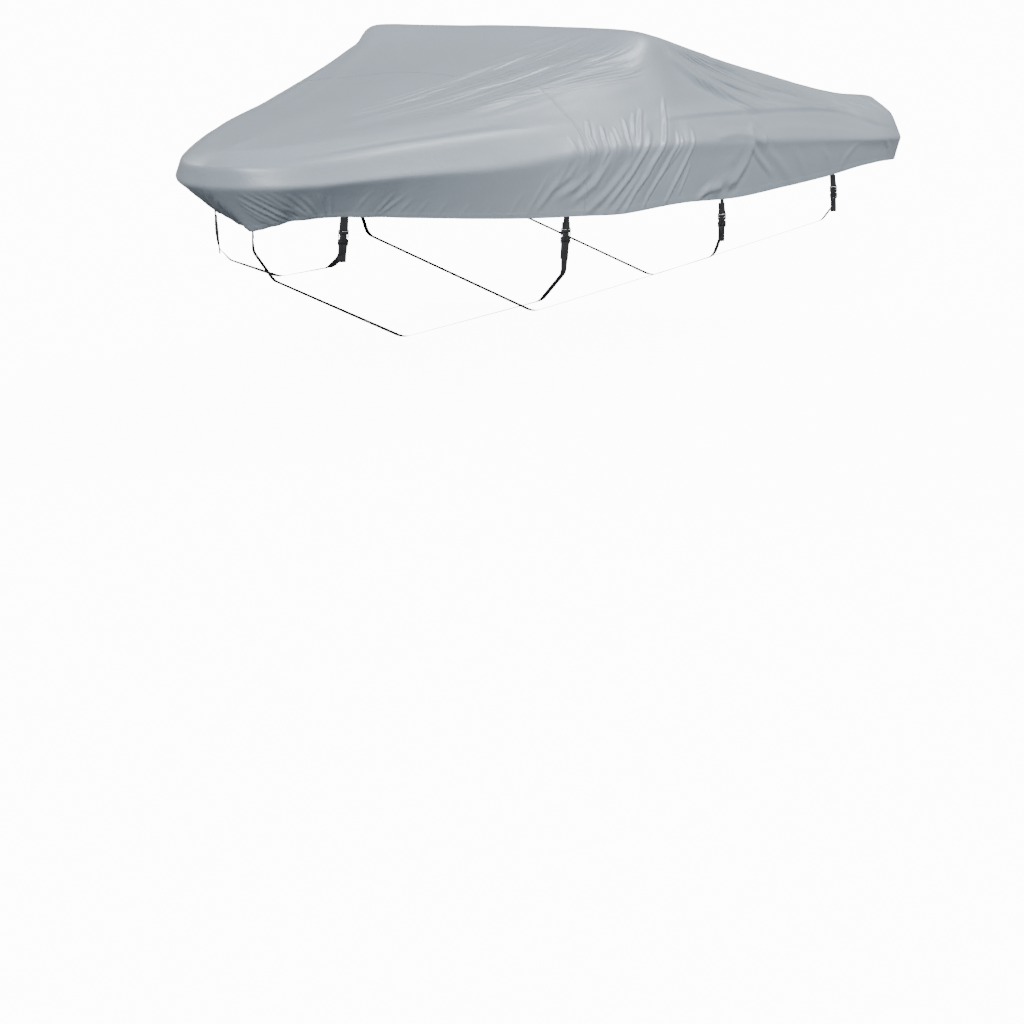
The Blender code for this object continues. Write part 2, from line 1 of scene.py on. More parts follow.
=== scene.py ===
"""Fitted boat cover with four belly straps: cloth, webbing and side-release buckles.

The cloth is the part's own surface.  A point of it has a run, the distance along the
gunwale from the stem, and a girth, the distance up the section from the port hem, over
the spine and down to the starboard hem.  Five lines of a table of offsets carry it, and
the folds stand on it along its outward normal.  Metres, bow towards -X, port towards -Y.
"""
from collections import namedtuple

import bpy
import numpy as np
from mathutils import Matrix, Vector


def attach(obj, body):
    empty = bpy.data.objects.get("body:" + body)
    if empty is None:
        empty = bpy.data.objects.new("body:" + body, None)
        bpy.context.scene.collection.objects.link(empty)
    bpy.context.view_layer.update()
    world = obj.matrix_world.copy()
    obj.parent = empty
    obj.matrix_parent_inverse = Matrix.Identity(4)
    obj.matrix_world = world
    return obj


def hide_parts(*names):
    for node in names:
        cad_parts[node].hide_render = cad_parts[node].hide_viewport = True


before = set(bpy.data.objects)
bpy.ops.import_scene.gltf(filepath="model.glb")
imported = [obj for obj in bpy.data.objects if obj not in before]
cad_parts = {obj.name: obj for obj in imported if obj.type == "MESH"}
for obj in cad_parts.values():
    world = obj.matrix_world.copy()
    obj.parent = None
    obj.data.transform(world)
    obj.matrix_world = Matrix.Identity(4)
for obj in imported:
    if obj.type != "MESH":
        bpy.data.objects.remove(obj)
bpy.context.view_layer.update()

bl_info = {
    "name": "Fitted boat cover",
    "version": (1, 0, 0),
    "blender": (4, 5, 0),
    "location": "View3D > Sidebar > Boat cover",
    "description": "Builds the cloth, webbing, buckles and studio of a fitted boat cover",
    "category": "Object",
}

# ------------------------------------------------------------------ the part's own sizes
CLOTH_THICKNESS = 0.002
SEAT_GAP = 0.0003
GIRTH_LINES = (0.0, 0.24, 0.40, 0.80, 1.50)      # hem, gunwale, deck edge, ridge, spine
ROUNDING = (0.03, 0.035, 0.07, 0.09, 0.20)
SPINE = GIRTH_LINES[-1]
FULL_GIRTH = 2 * SPINE
WEB_WIDTH = 0.038
WEB_THICKNESS = 0.002
TAB_SEWN = 0.05
BUCKLE_WIDTH = 0.048
PLUG_LENGTH = 0.022
SOCKET_LENGTH = 0.050
PRONG_LENGTH = 0.016
TAIL_LENGTH = 0.075           # of webbing past the socket's bar
SIDE_RADIUS = 0.06
CHINE_RADIUS = 0.07
KEEL_RADIUS = 0.12
BAR_RADIUS = 0.0021           # of the bar that webbing turns round
BAR_END_SHARE = 0.72          # of a bar's section at its two ends
BAR_IN = 0.0040               # from the plate's end to the middle of that bar
WRAP_RADIUS = BAR_RADIUS + WEB_THICKNESS / 2 + 0.0002

# for the hem, gunwale, deck edge, ridge and spine of each station: aft from the stem, half
# breadth, height above the lowest point of the hem
STATIONS = (
    ("stem", 0.24, 0, 0.01, 0, 0, 0.211, -0.01, 0, 0.295, 0.05, 0, 0.36, 0.15, 0, 0.39),
    ("nose", 0.257, 0.06, 0.023, 0.02, 0.14, 0.211, 0.02, 0.13, 0.297, 0.09, 0.09, 0.365, 0.2, 0,
     0.397),
    ("lip", 0.28, 0.13, 0.045, 0.1, 0.275, 0.214, 0.11, 0.26, 0.305, 0.17, 0.18, 0.375, 0.27, 0,
     0.407),
    ("cheek", 0.36, 0.27, 0.068, 0.28, 0.435, 0.227, 0.29, 0.4, 0.323, 0.33, 0.29, 0.397, 0.4, 0,
     0.431),
    ("forward", 0.63, 0.48, 0.057, 0.6, 0.61, 0.245, 0.6, 0.555, 0.357, 0.61, 0.42, 0.437, 0.64,
     0, 0.473),
    ("foredeck", 1.06, 0.725, 0.025, 1.05, 0.8, 0.256, 1.05, 0.73, 0.397, 1.05, 0.57, 0.493, 1.06,
     0, 0.539),
    ("seam", 1.57, 0.905, 0.003, 1.57, 0.94, 0.293, 1.57, 0.855, 0.417, 1.57, 0.67, 0.581, 1.57,
     0, 0.635),
    ("dash", 2.08, 1, 0.004, 2.08, 1.03, 0.29, 2.08, 0.935, 0.419, 2.08, 0.745, 0.689, 2.08, 0,
     0.727),
    ("cowl", 2.27, 1.022, 0.008, 2.27, 1.053, 0.288, 2.27, 0.95, 0.416, 2.27, 0.77, 0.746, 2.27,
     0, 0.776),
    ("screen", 2.413, 1.04, 0.013, 2.413, 1.07, 0.286, 2.413, 0.96, 0.413, 2.413, 0.795, 0.811,
     2.413, 0, 0.826),
    ("lee", 2.56, 1.052, 0.013, 2.56, 1.08, 0.281, 2.56, 0.968, 0.41, 2.56, 0.797, 0.797, 2.56, 0,
     0.812),
    ("helm", 2.9, 1.07, 0.011, 2.9, 1.1, 0.268, 2.9, 0.98, 0.403, 2.9, 0.8, 0.729, 2.9, 0, 0.74),
    ("seat", 3.4, 1.085, 0.032, 3.4, 1.115, 0.241, 3.4, 0.985, 0.391, 3.4, 0.8, 0.645, 3.4, 0,
     0.653),
    ("well", 3.95, 1.09, 0.044, 3.95, 1.12, 0.211, 3.95, 0.99, 0.367, 3.95, 0.82, 0.551, 3.95, 0,
     0.56),
    ("quarter", 4.55, 1.09, 0.049, 4.55, 1.12, 0.174, 4.55, 1.005, 0.317, 4.52, 0.88, 0.447, 4.47,
     0, 0.466),
    ("corner", 5.15, 1.075, 0.03, 5.15, 1.105, 0.145, 5.15, 1.035, 0.277, 5.09, 0.925, 0.385,
     4.95, 0, 0.408),
    ("turn", 5.37, 0.99, 0.02, 5.39, 1.02, 0.133, 5.37, 0.965, 0.269, 5.28, 0.86, 0.378, 5.08, 0,
     0.403),
    ("stern", 5.435, 0.75, 0.015, 5.455, 0.76, 0.131, 5.425, 0.73, 0.265, 5.34, 0.65, 0.376, 5.14,
     0, 0.402),
    ("transom", 5.445, 0, 0.015, 5.465, 0, 0.131, 5.435, 0, 0.265, 5.35, 0, 0.375, 5.16, 0,
     0.401),
)

# The solid's folds: run, girth, to run, to girth, half width, to half width, height
Fold = namedtuple("Fold", "run girth to_run to_girth width to_width height")
PORT_FOLDS = tuple(Fold(*row) for row in (
    (2.76, 0.9, 0.85, 1.1, 0.035, 0.06, 0.009),
    (2.74, 0.84, 1.15, 0.98, 0.035, 0.05, 0.007),
    (2.74, 0.75, 1.05, 0.78, 0.035, 0.055, 0.009),
    (2.7, 0.68, 1.35, 0.66, 0.035, 0.05, 0.007),
    (2.7, 0.6, 1.8, 0.57, 0.035, 0.045, 0.006),
    (2.76, 0.95, 1.6, 1.28, 0.04, 0.06, -0.006),
    (3, 0.66, 3.68, 0.42, 0.035, 0.05, 0.01),
    (3.45, 0.8, 4.6, 0.5, 0.04, 0.06, 0.009),
    (3.45, 0.69, 3.85, 0.55, 0.04, 0.055, 0.007),
    (4.85, 0.58, 5.37, 0.37, 0.04, 0.055, 0.009),
    (3.2, 0.72, 4.9, 0.72, 0.06, 0.08, -0.008),
    (2.83, 0.34, 2.56, 0.02, 0.035, 0.045, 0.011),
    (2.69, 0.38, 2.26, 0.02, 0.035, 0.05, 0.012),
    (2.5, 0.4, 2.1, 0.03, 0.035, 0.045, 0.01),
    (2.3, 0.38, 1.9, 0.02, 0.035, 0.05, 0.012),
    (2.08, 0.36, 1.74, 0.04, 0.035, 0.045, 0.009),
    (1.88, 0.32, 1.62, 0.06, 0.035, 0.04, 0.007),
    (3.4, 0.31, 3.6, 0.2, 0.05, 0.05, 0.012),
    (3.46, 0.24, 2.92, 0.02, 0.04, 0.05, 0.01),
    (4.3, 0.26, 5.2, 0.2, 0.06, 0.05, 0.006),
))
STARBOARD_FOLDS = tuple(Fold(*row) for row in (
    (2.76, 0.88, 1.2, 1.05, 0.035, 0.055, 0.006),
    (2.72, 0.74, 1.4, 0.8, 0.035, 0.055, 0.008),
    (2.7, 0.62, 1.6, 0.6, 0.035, 0.05, 0.006),
    (3.02, 0.68, 3.9, 0.44, 0.035, 0.055, 0.009),
    (3.4, 0.78, 4.75, 0.54, 0.04, 0.06, 0.008),
    (4.8, 0.6, 5.3, 0.38, 0.04, 0.055, 0.009),
    (2.78, 0.36, 2.45, 0.02, 0.035, 0.05, 0.01),
    (2.55, 0.38, 2.12, 0.03, 0.035, 0.05, 0.011),
    (2.22, 0.37, 1.86, 0.03, 0.035, 0.05, 0.01),
    (1.98, 0.33, 1.66, 0.05, 0.035, 0.045, 0.008),
    (3.62, 0.3, 3.1, 0.03, 0.045, 0.055, 0.011),
    (4.45, 0.27, 5.1, 0.2, 0.06, 0.055, 0.006),
))
Dish = namedtuple("Dish", "run girth radius height")
PORT_DISHES = tuple(Dish(*row) for row in (
    (2.84, 0.78, 0.14, -0.012),
    (3.9, 1.1, 0.55, -0.012),
    (1.2, 0.62, 0.35, -0.006),
    (3.95, 0.33, 0.4, 0.006),
))
STARBOARD_DISHES = tuple(Dish(*row) for row in (
    (2.79, 0.8, 0.28, 0.016),
    (1.55, 0.72, 0.45, -0.022),
    (0.75, 0.58, 0.4, -0.01),
    (3.9, 1.15, 0.6, -0.014),
    (4.2, 0.33, 0.45, 0.005),
))
# the worn cloth alone: fuller at both ends, lower at the starboard corner of the windscreen
EASED_PORT = (Dish(5.52, 0.50, 0.26, 0.010), Dish(0.10, 0.42, 0.10, 0.004))
EASED_STARBOARD = tuple(Dish(*row) for row in (
    (2.79, 0.8, 0.28, -0.004),
    (2.7, 0.77, 0.11, -0.02),
    (2.1, 0.76, 0.3, -0.005),
    (0.26, 0.56, 0.24, 0.011),
))
Gather = namedtuple("Gather", "wave_length phase height")
GATHERS = tuple(Gather(*row) for row in ((0.250, 0.4, 0.0050), (0.163, 1.9, 0.0035)))
GATHER_RUN = 1.5
GATHER_GIRTH = 0.22

# run at the hem, free length of the tab, turn of the buckle, half breadth and height of
# the side and of the chine, height of the keel
Strap = namedtuple("Strap", "name run tab turn side_out side_up chine_out chine_up keel_up")
STRAPS = tuple(Strap(*row) for row in (
    ("bow", 0.66, 0.055, 0.0, 0.325, -0.096, 0.262, -0.148, -0.205),
    ("fore", 1.82, 0.050, 28.0, 0.858, -0.250, 0.740, -0.385, -0.610),
    ("mid", 3.14, 0.092, 30.0, 1.063, -0.185, 1.020, -0.300, -0.650),
    ("aft", 4.57, 0.105, 32.0, 1.098, -0.160, 1.030, -0.250, -0.620),
))

# ------------------------------------------------------------------ creases of the cloth
Crease = namedtuple("Crease", "upper lower height points")


def creases(*rows):
    """Ridges along lines, or troughs where the height is negative.  A row holds the half
    width above the line and that below it, or one for both, and the height, in
    millimetres, and then the run and girth of each point in metres."""
    made = []
    for row in rows:
        leading = 2 + len(row) % 2
        upper, *lower, height = (part / 1000 for part in row[:leading])
        made.append(Crease(upper, *(lower or [upper]), height,
                           np.reshape(row[leading:], (-1, 2))))
    return made


PORT_CREASES = creases(
    # fan from the port corner of the windscreen down the foredeck
    (11, 44, 12.5, 1.02, 1.27, 1.4, 1.296, 1.68, 1.266, 1.95, 1.225, 2.21, 1.19, 2.42, 1.146,
     2.61, 1.09),
    (10, 14, -6, 1.01, 1.22, 1.37, 1.19, 1.69, 1.182, 1.99, 1.185, 2.26, 1.14, 2.5, 1.086, 2.69,
     1.02),
    (11, 48, 14, 0.8, 1.06, 1.08, 1.074, 1.4, 1.044, 1.65, 1.015, 1.94, 1.01, 2.25, 0.954, 2.62,
     0.864),
    (10, 14, -7.5, 1.4, 0.99, 1.79, 0.975, 2.04, 0.945, 2.27, 0.905, 2.6, 0.87),
    (11, 45, 11.5, 1.44, 0.79, 1.7, 0.8, 2, 0.795, 2.3, 0.79, 2.62, 0.8),
    (10, 24, 5.2, 2.2, 1.27, 2.38, 1.235, 2.56, 1.19, 2.69, 1.12),
    (10, 22, 4.6, 2.52, 1.3, 2.66, 1.215, 2.73, 1.13),
    (10, 20, 4.6, 2.18, 0.93, 2.37, 0.9, 2.5, 0.84),
    (9, 14, -4, 1.68, 0.742, 1.9, 0.738, 2.1, 0.752),
    (10, 22, 4.4, 2.46, 1.17, 2.62, 1.1, 2.73, 1),
    (9, 14, 3.2, 1.02, 1.02, 1.24, 1.022, 1.46, 1),
    (9, 14, 3, 1.12, 0.936, 1.25, 0.93, 1.4, 0.94),
    (9, 14, 2.6, 1.55, 1.12, 1.8, 1.11, 2.05, 1.1),
    (8, 12, 2.4, 1.74, 0.905, 1.95, 0.9, 2.15, 0.875),
    (8, 12, 2.2, 1.55, 0.7, 1.76, 0.7, 1.95, 0.695),
    # bend from the foredeck to the side
    (40, 100, 7.5, 0.34, 0.48, 0.63, 0.49, 0.9, 0.49, 1.1, 0.475, 1.31, 0.47, 1.52, 0.44),
    # edge of the deck from the pleats to the stern, and the swelling of the side below it
    (120, 95, 21, 2.46, 0.37, 2.7, 0.384, 3.11, 0.39, 3.6, 0.386, 4.15, 0.39, 4.76, 0.405, 5.01,
     0.378, 5.2, 0.34, 5.46, 0.32),
    (36, 11, 8.5, 2.56, 0.376, 2.8, 0.385, 3.11, 0.39, 3.6, 0.386, 4.15, 0.39, 4.76, 0.405, 5.01,
     0.378, 5.2, 0.34, 5.46, 0.32),
    (20, 28, 3, 2.88, 0.3, 3.14, 0.292, 3.42, 0.286),
    (20, 28, 4, 3.66, 0.29, 4.01, 0.296, 4.3, 0.292, 4.65, 0.286, 5, 0.27),
    # aft of the windscreen corner, down the slope to the deck edge
    (50, 22, 23, 2.96, 0.7, 3.06, 0.65, 3.15, 0.595, 3.3, 0.55, 3.43, 0.492, 3.54, 0.432, 3.64,
     0.38),
    (30, 20, 12.5, 3.3, 0.78, 3.5, 0.76, 3.72, 0.71, 3.92, 0.655, 4.12, 0.6, 4.33, 0.555, 4.6,
     0.535, 4.8, 0.53),
    (34, 20, 13.5, 3.3, 0.68, 3.45, 0.625, 3.62, 0.57, 3.76, 0.515, 3.99, 0.444, 4.14, 0.41),
    (30, -9, 3.05, 0.735, 3.3, 0.705, 3.6, 0.655, 3.92, 0.585, 4.18, 0.522),
    (18, 14, 5, 3.1, 0.77, 3.3, 0.73, 3.52, 0.685, 3.75, 0.62),
    (34, 18, 12, 4.74, 0.56, 4.85, 0.522, 5.01, 0.444, 5.1, 0.385, 5.24, 0.34),
    (30, 22, -6, 4.86, 0.6, 5, 0.52, 5.12, 0.44),
    (24, 18, 6, 4.95, 0.72, 5.12, 0.66, 5.28, 0.55, 5.44, 0.44),
    (30, 24, 6, 5.29, 0.8, 5.45, 0.65, 5.53, 0.42, 5.53, 0.28),
    # pleats over the gunwale
    (8.8, 5.2, 1.84, 0.33, 1.84, 0.27, 1.86, 0.22),
    (8.8, 4.5, 1.91, 0.32, 1.88, 0.22),
    (9.6, 6.7, 2.04, 0.42, 1.98, 0.32, 1.96, 0.22),
    (9.6, 7.3, 2.11, 0.37, 2.07, 0.29, 2.06, 0.24, 2.01, 0.18),
    (8.8, 5, 2.16, 0.33, 2.11, 0.23),
    (9.6, 6.9, 2.31, 0.4, 2.25, 0.29, 2.23, 0.21),
    (10.4, 7.8, 2.5, 0.45, 2.38, 0.33, 2.28, 0.22),
    (11.2, 9.5, 2.46, 0.32, 2.38, 0.25, 2.25, 0.14, 2.08, 0.03),
    (9.6, 8.4, 2.74, 0.49, 2.63, 0.36, 2.55, 0.28, 2.48, 0.22, 2.36, 0.14),
    (10.4, 8.4, 2.47, 0.22, 2.39, 0.14, 2.3, 0.08, 2.22, 0),
    (9.6, 9, 2.7, 0.31, 2.64, 0.24, 2.57, 0.18, 2.41, 0.05, 2.37, 0),
    (8, 6.2, 2.72, 0.3, 2.67, 0.23, 2.59, 0.17, 2.49, 0.11),
    (10.4, 9.5, 2.84, 0.31, 2.77, 0.23, 2.71, 0.16, 2.63, 0.08, 2.56, 0),
    (9.6, 5, 2.77, 0.15, 2.68, 0.03),
    (9.6, 5.6, 2.42, 0.43, 2.36, 0.37, 2.31, 0.3),
    (8, 3.6, 2.2, 0.36, 2.17, 0.28),
    # diagonals of the skirt
    (15, 7, 2.08, 0.21, 1.98, 0.12, 1.83, 0.05),
    (15, 7, 2.24, 0.18, 2.08, 0.08, 1.92, 0),
    (12, 5, 2.34, 0.14, 2.22, 0.06, 2.13, 0),
    (15, 6, 1.95, 0.17, 1.87, 0.12, 1.74, 0.08),
    (12, 4.5, 1.85, 0.21, 1.8, 0.16, 1.7, 0.11),
    (13, 5, 1.78, 0.19, 1.7, 0.12, 1.62, 0.03),
    (10, 2.6, 1.66, 0.18, 1.61, 0.1, 1.56, 0.01),
    (10, 1.8, 1.52, 0.12, 1.49, 0.06, 1.46, 0),
    (14, 6, 2.99, 0.06, 2.93, 0.035, 2.86, 0),
    (30, 20, 11, 3.44, 0.23, 3.37, 0.14, 3.26, 0.07, 3.07, 0.04, 2.94, 0.03),
    # slack cloth beside the third strap
    (14, 5.5, 3.46, 0.37, 3.52, 0.33, 3.6, 0.305),
    (14, 6.5, 3.42, 0.27, 3.5, 0.305, 3.58, 0.27, 3.57, 0.21),
    (22, 6, 3.6, 0.19, 3.76, 0.12, 3.95, 0.02),
    (20, 14, 8.5, 3.05, 0.262, 3.26, 0.272, 3.43, 0.262, 3.53, 0.222),
    (16, 12, 7, 3.41, 0.25, 3.42, 0.2, 3.52, 0.145, 3.7, 0.06),
    (14, 10, 6, 2.89, 0.02, 2.98, 0.042, 3.12, 0.055),
    (22, 4.5, 3.92, 0.2, 4.06, 0.1, 4.16, 0.01),
    (18, 4, 4.34, 0.18, 4.46, 0.1, 4.52, 0.02),
    (18, 4.5, 4.86, 0.19, 4.74, 0.1, 4.66, 0.02),
    (20, 4.5, 5.28, 0.24, 5.4, 0.13, 5.46, 0.02),
    (18, 5, 5.6, 0.28, 5.57, 0.14, 5.56, 0.01),
    (16, 4.2, 5.8, 0.26, 5.74, 0.13, 5.72, 0.01),
    (22, 5, 6.02, 0.34, 5.96, 0.18, 6, 0.02),
    (24, 4.5, 6.4, 0.33, 6.34, 0.18, 6.42, 0.02),
)
# drawn hem round the bow, each line from below the gunwale down to the hem
POUCH_CREASES = creases(
    (8, 6.6, 0.05, 0.19, 0.16, 0.102, 0.33, 0),
    (8, 6.8, 0.09, 0.215, 0.2, 0.12, 0.37, 0),
    (8, 6.8, 0.13, 0.215, 0.26, 0.12, 0.4, 0.005),
    (8, 6.8, 0.18, 0.215, 0.29, 0.114, 0.44, 0.01),
    (8, 6.6, 0.22, 0.215, 0.35, 0.096, 0.48, 0.01),
    (8, 6, 0.3, 0.2, 0.4, 0.096, 0.5, 0.01),
    (8, 5.6, 0.36, 0.19, 0.44, 0.108, 0.52, 0.01),
    (8, 4.6, 0.45, 0.185, 0.51, 0.09, 0.57, 0.005),
    (8, 3.4, 0.51, 0.16, 0.55, 0.09, 0.59, 0.01),
    (8, 2.8, 0.71, 0.165, 0.695, 0.09, 0.69, 0.005),
    (8.5, 3.6, 0.83, 0.15, 0.81, 0.078, 0.79, 0),
    (8.5, 3.6, 0.89, 0.13, 0.85, 0.066, 0.81, 0.005),
    (8.5, 2.4, 0.94, 0.11, 0.91, 0.05, 0.9, 0),
    (8.5, 2, 1.02, 0.1, 1, 0.05, 0.99, 0),
    (8.5, 1.6, 1.12, 0.09, 1.1, 0.04, 1.09, 0),
    (8.5, 1.4, 1.24, 0.08, 1.22, 0.04, 1.21, 0),
    (8.5, 1.4, 1.37, 0.08, 1.35, 0.04, 1.34, 0),
    (8, 5.6, 0.04, 0.175, 0.11, 0.1, 0.22, 0.01),
    (8, 5, 0.05, 0.126, 0.12, 0.06, 0.22, 0),
    (8, 3, 0.01, 0.06, 0.05, 0.02, 0.12, 0),
    (7.5, 3.4, 0.12, 0.2, 0.24, 0.1, 0.37, 0.012),
    (7.5, 3.4, 0.21, 0.2, 0.32, 0.1, 0.46, 0.012),
    (7.5, 2.8, 0.26, 0.2, 0.375, 0.09, 0.49, 0.01),
)
# the far side, laid as the near side is
STARBOARD_CREASES = creases(
    (16, 50, 4.4, 1.1, 1.12, 1.6, 1.08, 2.1, 1, 2.7, 0.88),
    (15, 45, 4.6, 1.3, 0.92, 1.8, 0.9, 2.3, 0.84, 2.72, 0.8),
    (15, 40, 4, 1.2, 0.74, 1.7, 0.77, 2.2, 0.76, 2.7, 0.73),
    (14, 36, 3.6, 1.7, 0.63, 2.1, 0.64, 2.6, 0.66),
    (14, 30, 3.4, 2.3, 1.16, 2.56, 1.06, 2.74, 0.94),
    (30, 22, 8.5, 3.05, 0.7, 3.3, 0.57, 3.6, 0.46, 3.88, 0.4),
    (26, 20, 6, 3.3, 0.72, 3.62, 0.6, 3.96, 0.5),
    (30, 24, 8, 3.36, 0.8, 3.8, 0.72, 4.2, 0.6, 4.74, 0.53),
    (24, 20, 7.5, 4.78, 0.6, 5.04, 0.47, 5.36, 0.37),
    (20, 4, 5.08, 0.62, 5.28, 0.5, 5.46, 0.42),
    (12, 5.6, 1.92, 0.36, 1.9, 0.28, 1.91, 0.21),
    (12, 6, 2.05, 0.4, 2, 0.3, 1.96, 0.19),
    (13, 6.6, 2.24, 0.41, 2.18, 0.3, 2.1, 0.18, 1.92, 0.05),
    (12, 5.6, 2.36, 0.38, 2.31, 0.27, 2.22, 0.16),
    (13, 7.8, 2.58, 0.44, 2.49, 0.3, 2.38, 0.18, 2.16, 0.02),
    (12, 5.6, 2.66, 0.34, 2.58, 0.22, 2.46, 0.1),
    (13, 8, 2.8, 0.4, 2.73, 0.26, 2.62, 0.13, 2.48, 0),
    (13, 5, 2.92, 0.32, 2.87, 0.2, 2.8, 0.06),
    (14, 5, 1.86, 0.21, 1.74, 0.1, 1.64, 0.01),
    (13, 4.4, 1.66, 0.2, 1.58, 0.1, 1.5, 0.01),
    (30, 22, 10, 3.6, 0.28, 3.46, 0.15, 3.28, 0.07, 3.08, 0.03),
    (14, 6, 3.56, 0.36, 3.66, 0.33, 3.74, 0.27),
    (22, 5, 3.8, 0.19, 3.98, 0.1, 4.12, 0.01),
    (20, 4.5, 4.3, 0.2, 4.42, 0.1, 4.5, 0.01),
    (18, 4.5, 4.92, 0.2, 4.8, 0.1, 4.7, 0.02),
    (20, 5, 5.24, 0.27, 5.34, 0.14, 5.38, 0.01),
    (18, 5, 5.62, 0.29, 5.58, 0.15, 5.6, 0.01),
    (22, 4.6, 5.92, 0.33, 5.9, 0.17, 5.86, 0.01),
    (24, 4.5, 6.22, 0.33, 6.18, 0.18, 6.24, 0.02),
    (24, 4, 6.6, 0.31, 6.54, 0.16, 6.58, 0.02),
)
# how far the worn hem hangs below the solid's: runs, and the length at each
HEM_DROPS = ((0.0, 1.9, 2.2, 2.6, 2.9, 3.3, 3.7, 4.0, 4.5, 4.75, 5.0, 5.3, 5.8, 7.0),
             (0.0, 0.0, 0.014, 0.007, 0.018, 0.031, 0.042, 0.047, 0.047, 0.040, 0.028, 0.015,
              0.012, 0.012))
FOLD_SHARE = 0.45             # of the solid's folds, which the creases take the place of
GATHER_SHARE = 0.5            # of the solid's gathers, likewise
CRINKLE_SHARE = 0.00030       # height of a wave of the unevenness, to its length
SEAM_RUN = 1.933
SEAM_OVERLAP = 0.008          # of the aft panel over the bow panel
SEAM_RAISE = 0.0005
HEM_WIDTH = 0.024
HEM_RAISE = 0.0004
SHEET_THICKNESS = 0.0007
HEM_ROLL = 0.0010             # radius of the turned edge of the hem
HEM_TURN = np.linspace(0, np.pi, 7)[1:-1]        # angles round that edge
INNER_SKIP = 4                # rows of the outer face to one of the inner face
# steps of the sheet's mesh: where it starts, then rows of end and greatest step
GIRTH_STEPS = (0.0, (0.0225, 0.0075), (0.0250, 0.0025), (0.45, 0.0086), (0.70, 0.0135),
               (1.32, 0.0096), (1.68, 0.030), (2.55, 0.0235), (2.78, 0.016), (2.975, 0.0088),
               (2.9775, 0.0025), (3.0, 0.0075))
BOW_STEPS = (0.0, (0.60, 0.0057), (SEAM_RUN - 0.012, 0.0098), (SEAM_RUN, 0.006))
AFT_STEPS = (SEAM_RUN - SEAM_OVERLAP, (SEAM_RUN + SEAM_OVERLAP, 0.004),
             (SEAM_RUN + SEAM_OVERLAP + 0.004, 0.002), (2.86, 0.0066), (3.66, 0.0118),
             (5.50, 0.028), (5.95, 0.024))

# ------------------------------------------------------------------ the cloth as a function
MIRROR = np.array([1.0, -1.0, 1.0])
OFFSETS = np.reshape([row[1:] for row in STATIONS], (-1, len(GIRTH_LINES), 3))
LINES = np.array(GIRTH_LINES)


def unit(vector):
    """Each vector divided by its own length."""
    return vector / np.linalg.norm(vector, axis=-1, keepdims=True)


def lengths_along(points):
    """Distance along a polyline at each of its points."""
    return np.concatenate([[0.0], np.cumsum(np.linalg.norm(np.diff(points, axis=0), axis=1))])


RUNS = lengths_along(OFFSETS[:, 1])
LAST_RUN = RUNS[-1]
CREST_RUN = RUNS[[row[0] for row in STATIONS].index("screen")]


def mirrored_table(margin=4):
    """The table carried on past the centre plane at both ends, with half breadths negated."""
    runs = np.concatenate([-RUNS[margin:0:-1], RUNS, 2 * LAST_RUN - RUNS[-2:-2 - margin:-1]])
    rows = np.concatenate([OFFSETS[margin:0:-1] * MIRROR, OFFSETS,
                           OFFSETS[-2:-2 - margin:-1] * MIRROR])
    return runs, rows


def spline_bends(knots, rows):
    """Second derivatives of the natural cubic spline through the rows."""
    count = len(knots)
    step = np.diff(knots)
    slope = np.diff(rows, axis=0) / step[:, None, None]
    matrix = np.eye(count)
    inner = np.arange(1, count - 1)
    matrix[inner, inner - 1] = step[:-1]
    matrix[inner, inner] = 2 * (step[:-1] + step[1:])
    matrix[inner, inner + 1] = step[1:]
    right = np.zeros(rows.shape)
    right[1:-1] = 6 * np.diff(slope, axis=0)
    return np.linalg.solve(matrix, right.reshape(count, -1)).reshape(rows.shape)


KNOTS, KNOT_ROWS = mirrored_table()
KNOT_BENDS = spline_bends(KNOTS, KNOT_ROWS)


def lines_at(run):
    """The five lines at each run: the cubic between two stations, from their values and
    their second derivatives."""
    i = np.clip(np.searchsorted(KNOTS, run) - 1, 0, len(KNOTS) - 2)
    step = (KNOTS[i + 1] - KNOTS[i])[..., None, None]
    far = (run - KNOTS[i])[..., None, None] / step
    near = 1 - far
    bend = (near**3 - near) * KNOT_BENDS[i] + (far**3 - far) * KNOT_BENDS[i + 1]
    return near * KNOT_ROWS[i] + far * KNOT_ROWS[i + 1] + bend * step**2 / 6


def window(taps):
    """Offsets from -1 to 1 and the weights of a running mean over them, 1 + cos(pi offset),
    which add up to 1."""
    offsets = np.linspace(-1, 1, taps + 2)[1:-1]
    weights = 1 + np.cos(np.pi * offsets)
    return zip(offsets, weights / weights.sum())


def section_point(lines, girth):
    """The polyline through the five lines, averaged over a short stretch of girth, so that
    each corner is round."""
    reach = np.interp(girth, LINES, ROUNDING)
    mean = 0.0
    for offset, weight in window(9):
        at = girth + reach * offset
        over = at > SPINE
        at = np.where(over, FULL_GIRTH - at, at)
        j = np.clip(np.searchsorted(LINES, at) - 1, 0, len(LINES) - 2)
        share = ((at - LINES[j]) / (LINES[j + 1] - LINES[j]))[..., None]
        low = np.take_along_axis(lines, j[..., None, None], axis=-2)[..., 0, :]
        high = np.take_along_axis(lines, j[..., None, None] + 1, axis=-2)[..., 0, :]
        point = low + (high - low) * share
        mean = mean + weight * np.where(over[..., None], point * MIRROR, point)
    return mean


def smooth_step(value):
    """0 below 0, 1 above 1, and 3 v^2 - 2 v^3 between."""
    value = np.clip(value, 0, 1)
    return value * value * (3 - 2 * value)


def from_hem(girth):
    """Girth from the nearer hem."""
    return np.minimum(girth, FULL_GIRTH - girth)


def starboard_share(girth, blur):
    """0 on the port side and 1 on the starboard side, by a tanh across the spine."""
    return 0.5 + 0.5 * np.tanh((girth - SPINE) / blur)


def alike(run, girth):
    """Run and girth as arrays of one shape."""
    return np.broadcast_arrays(np.asarray(run, float), np.asarray(girth, float))


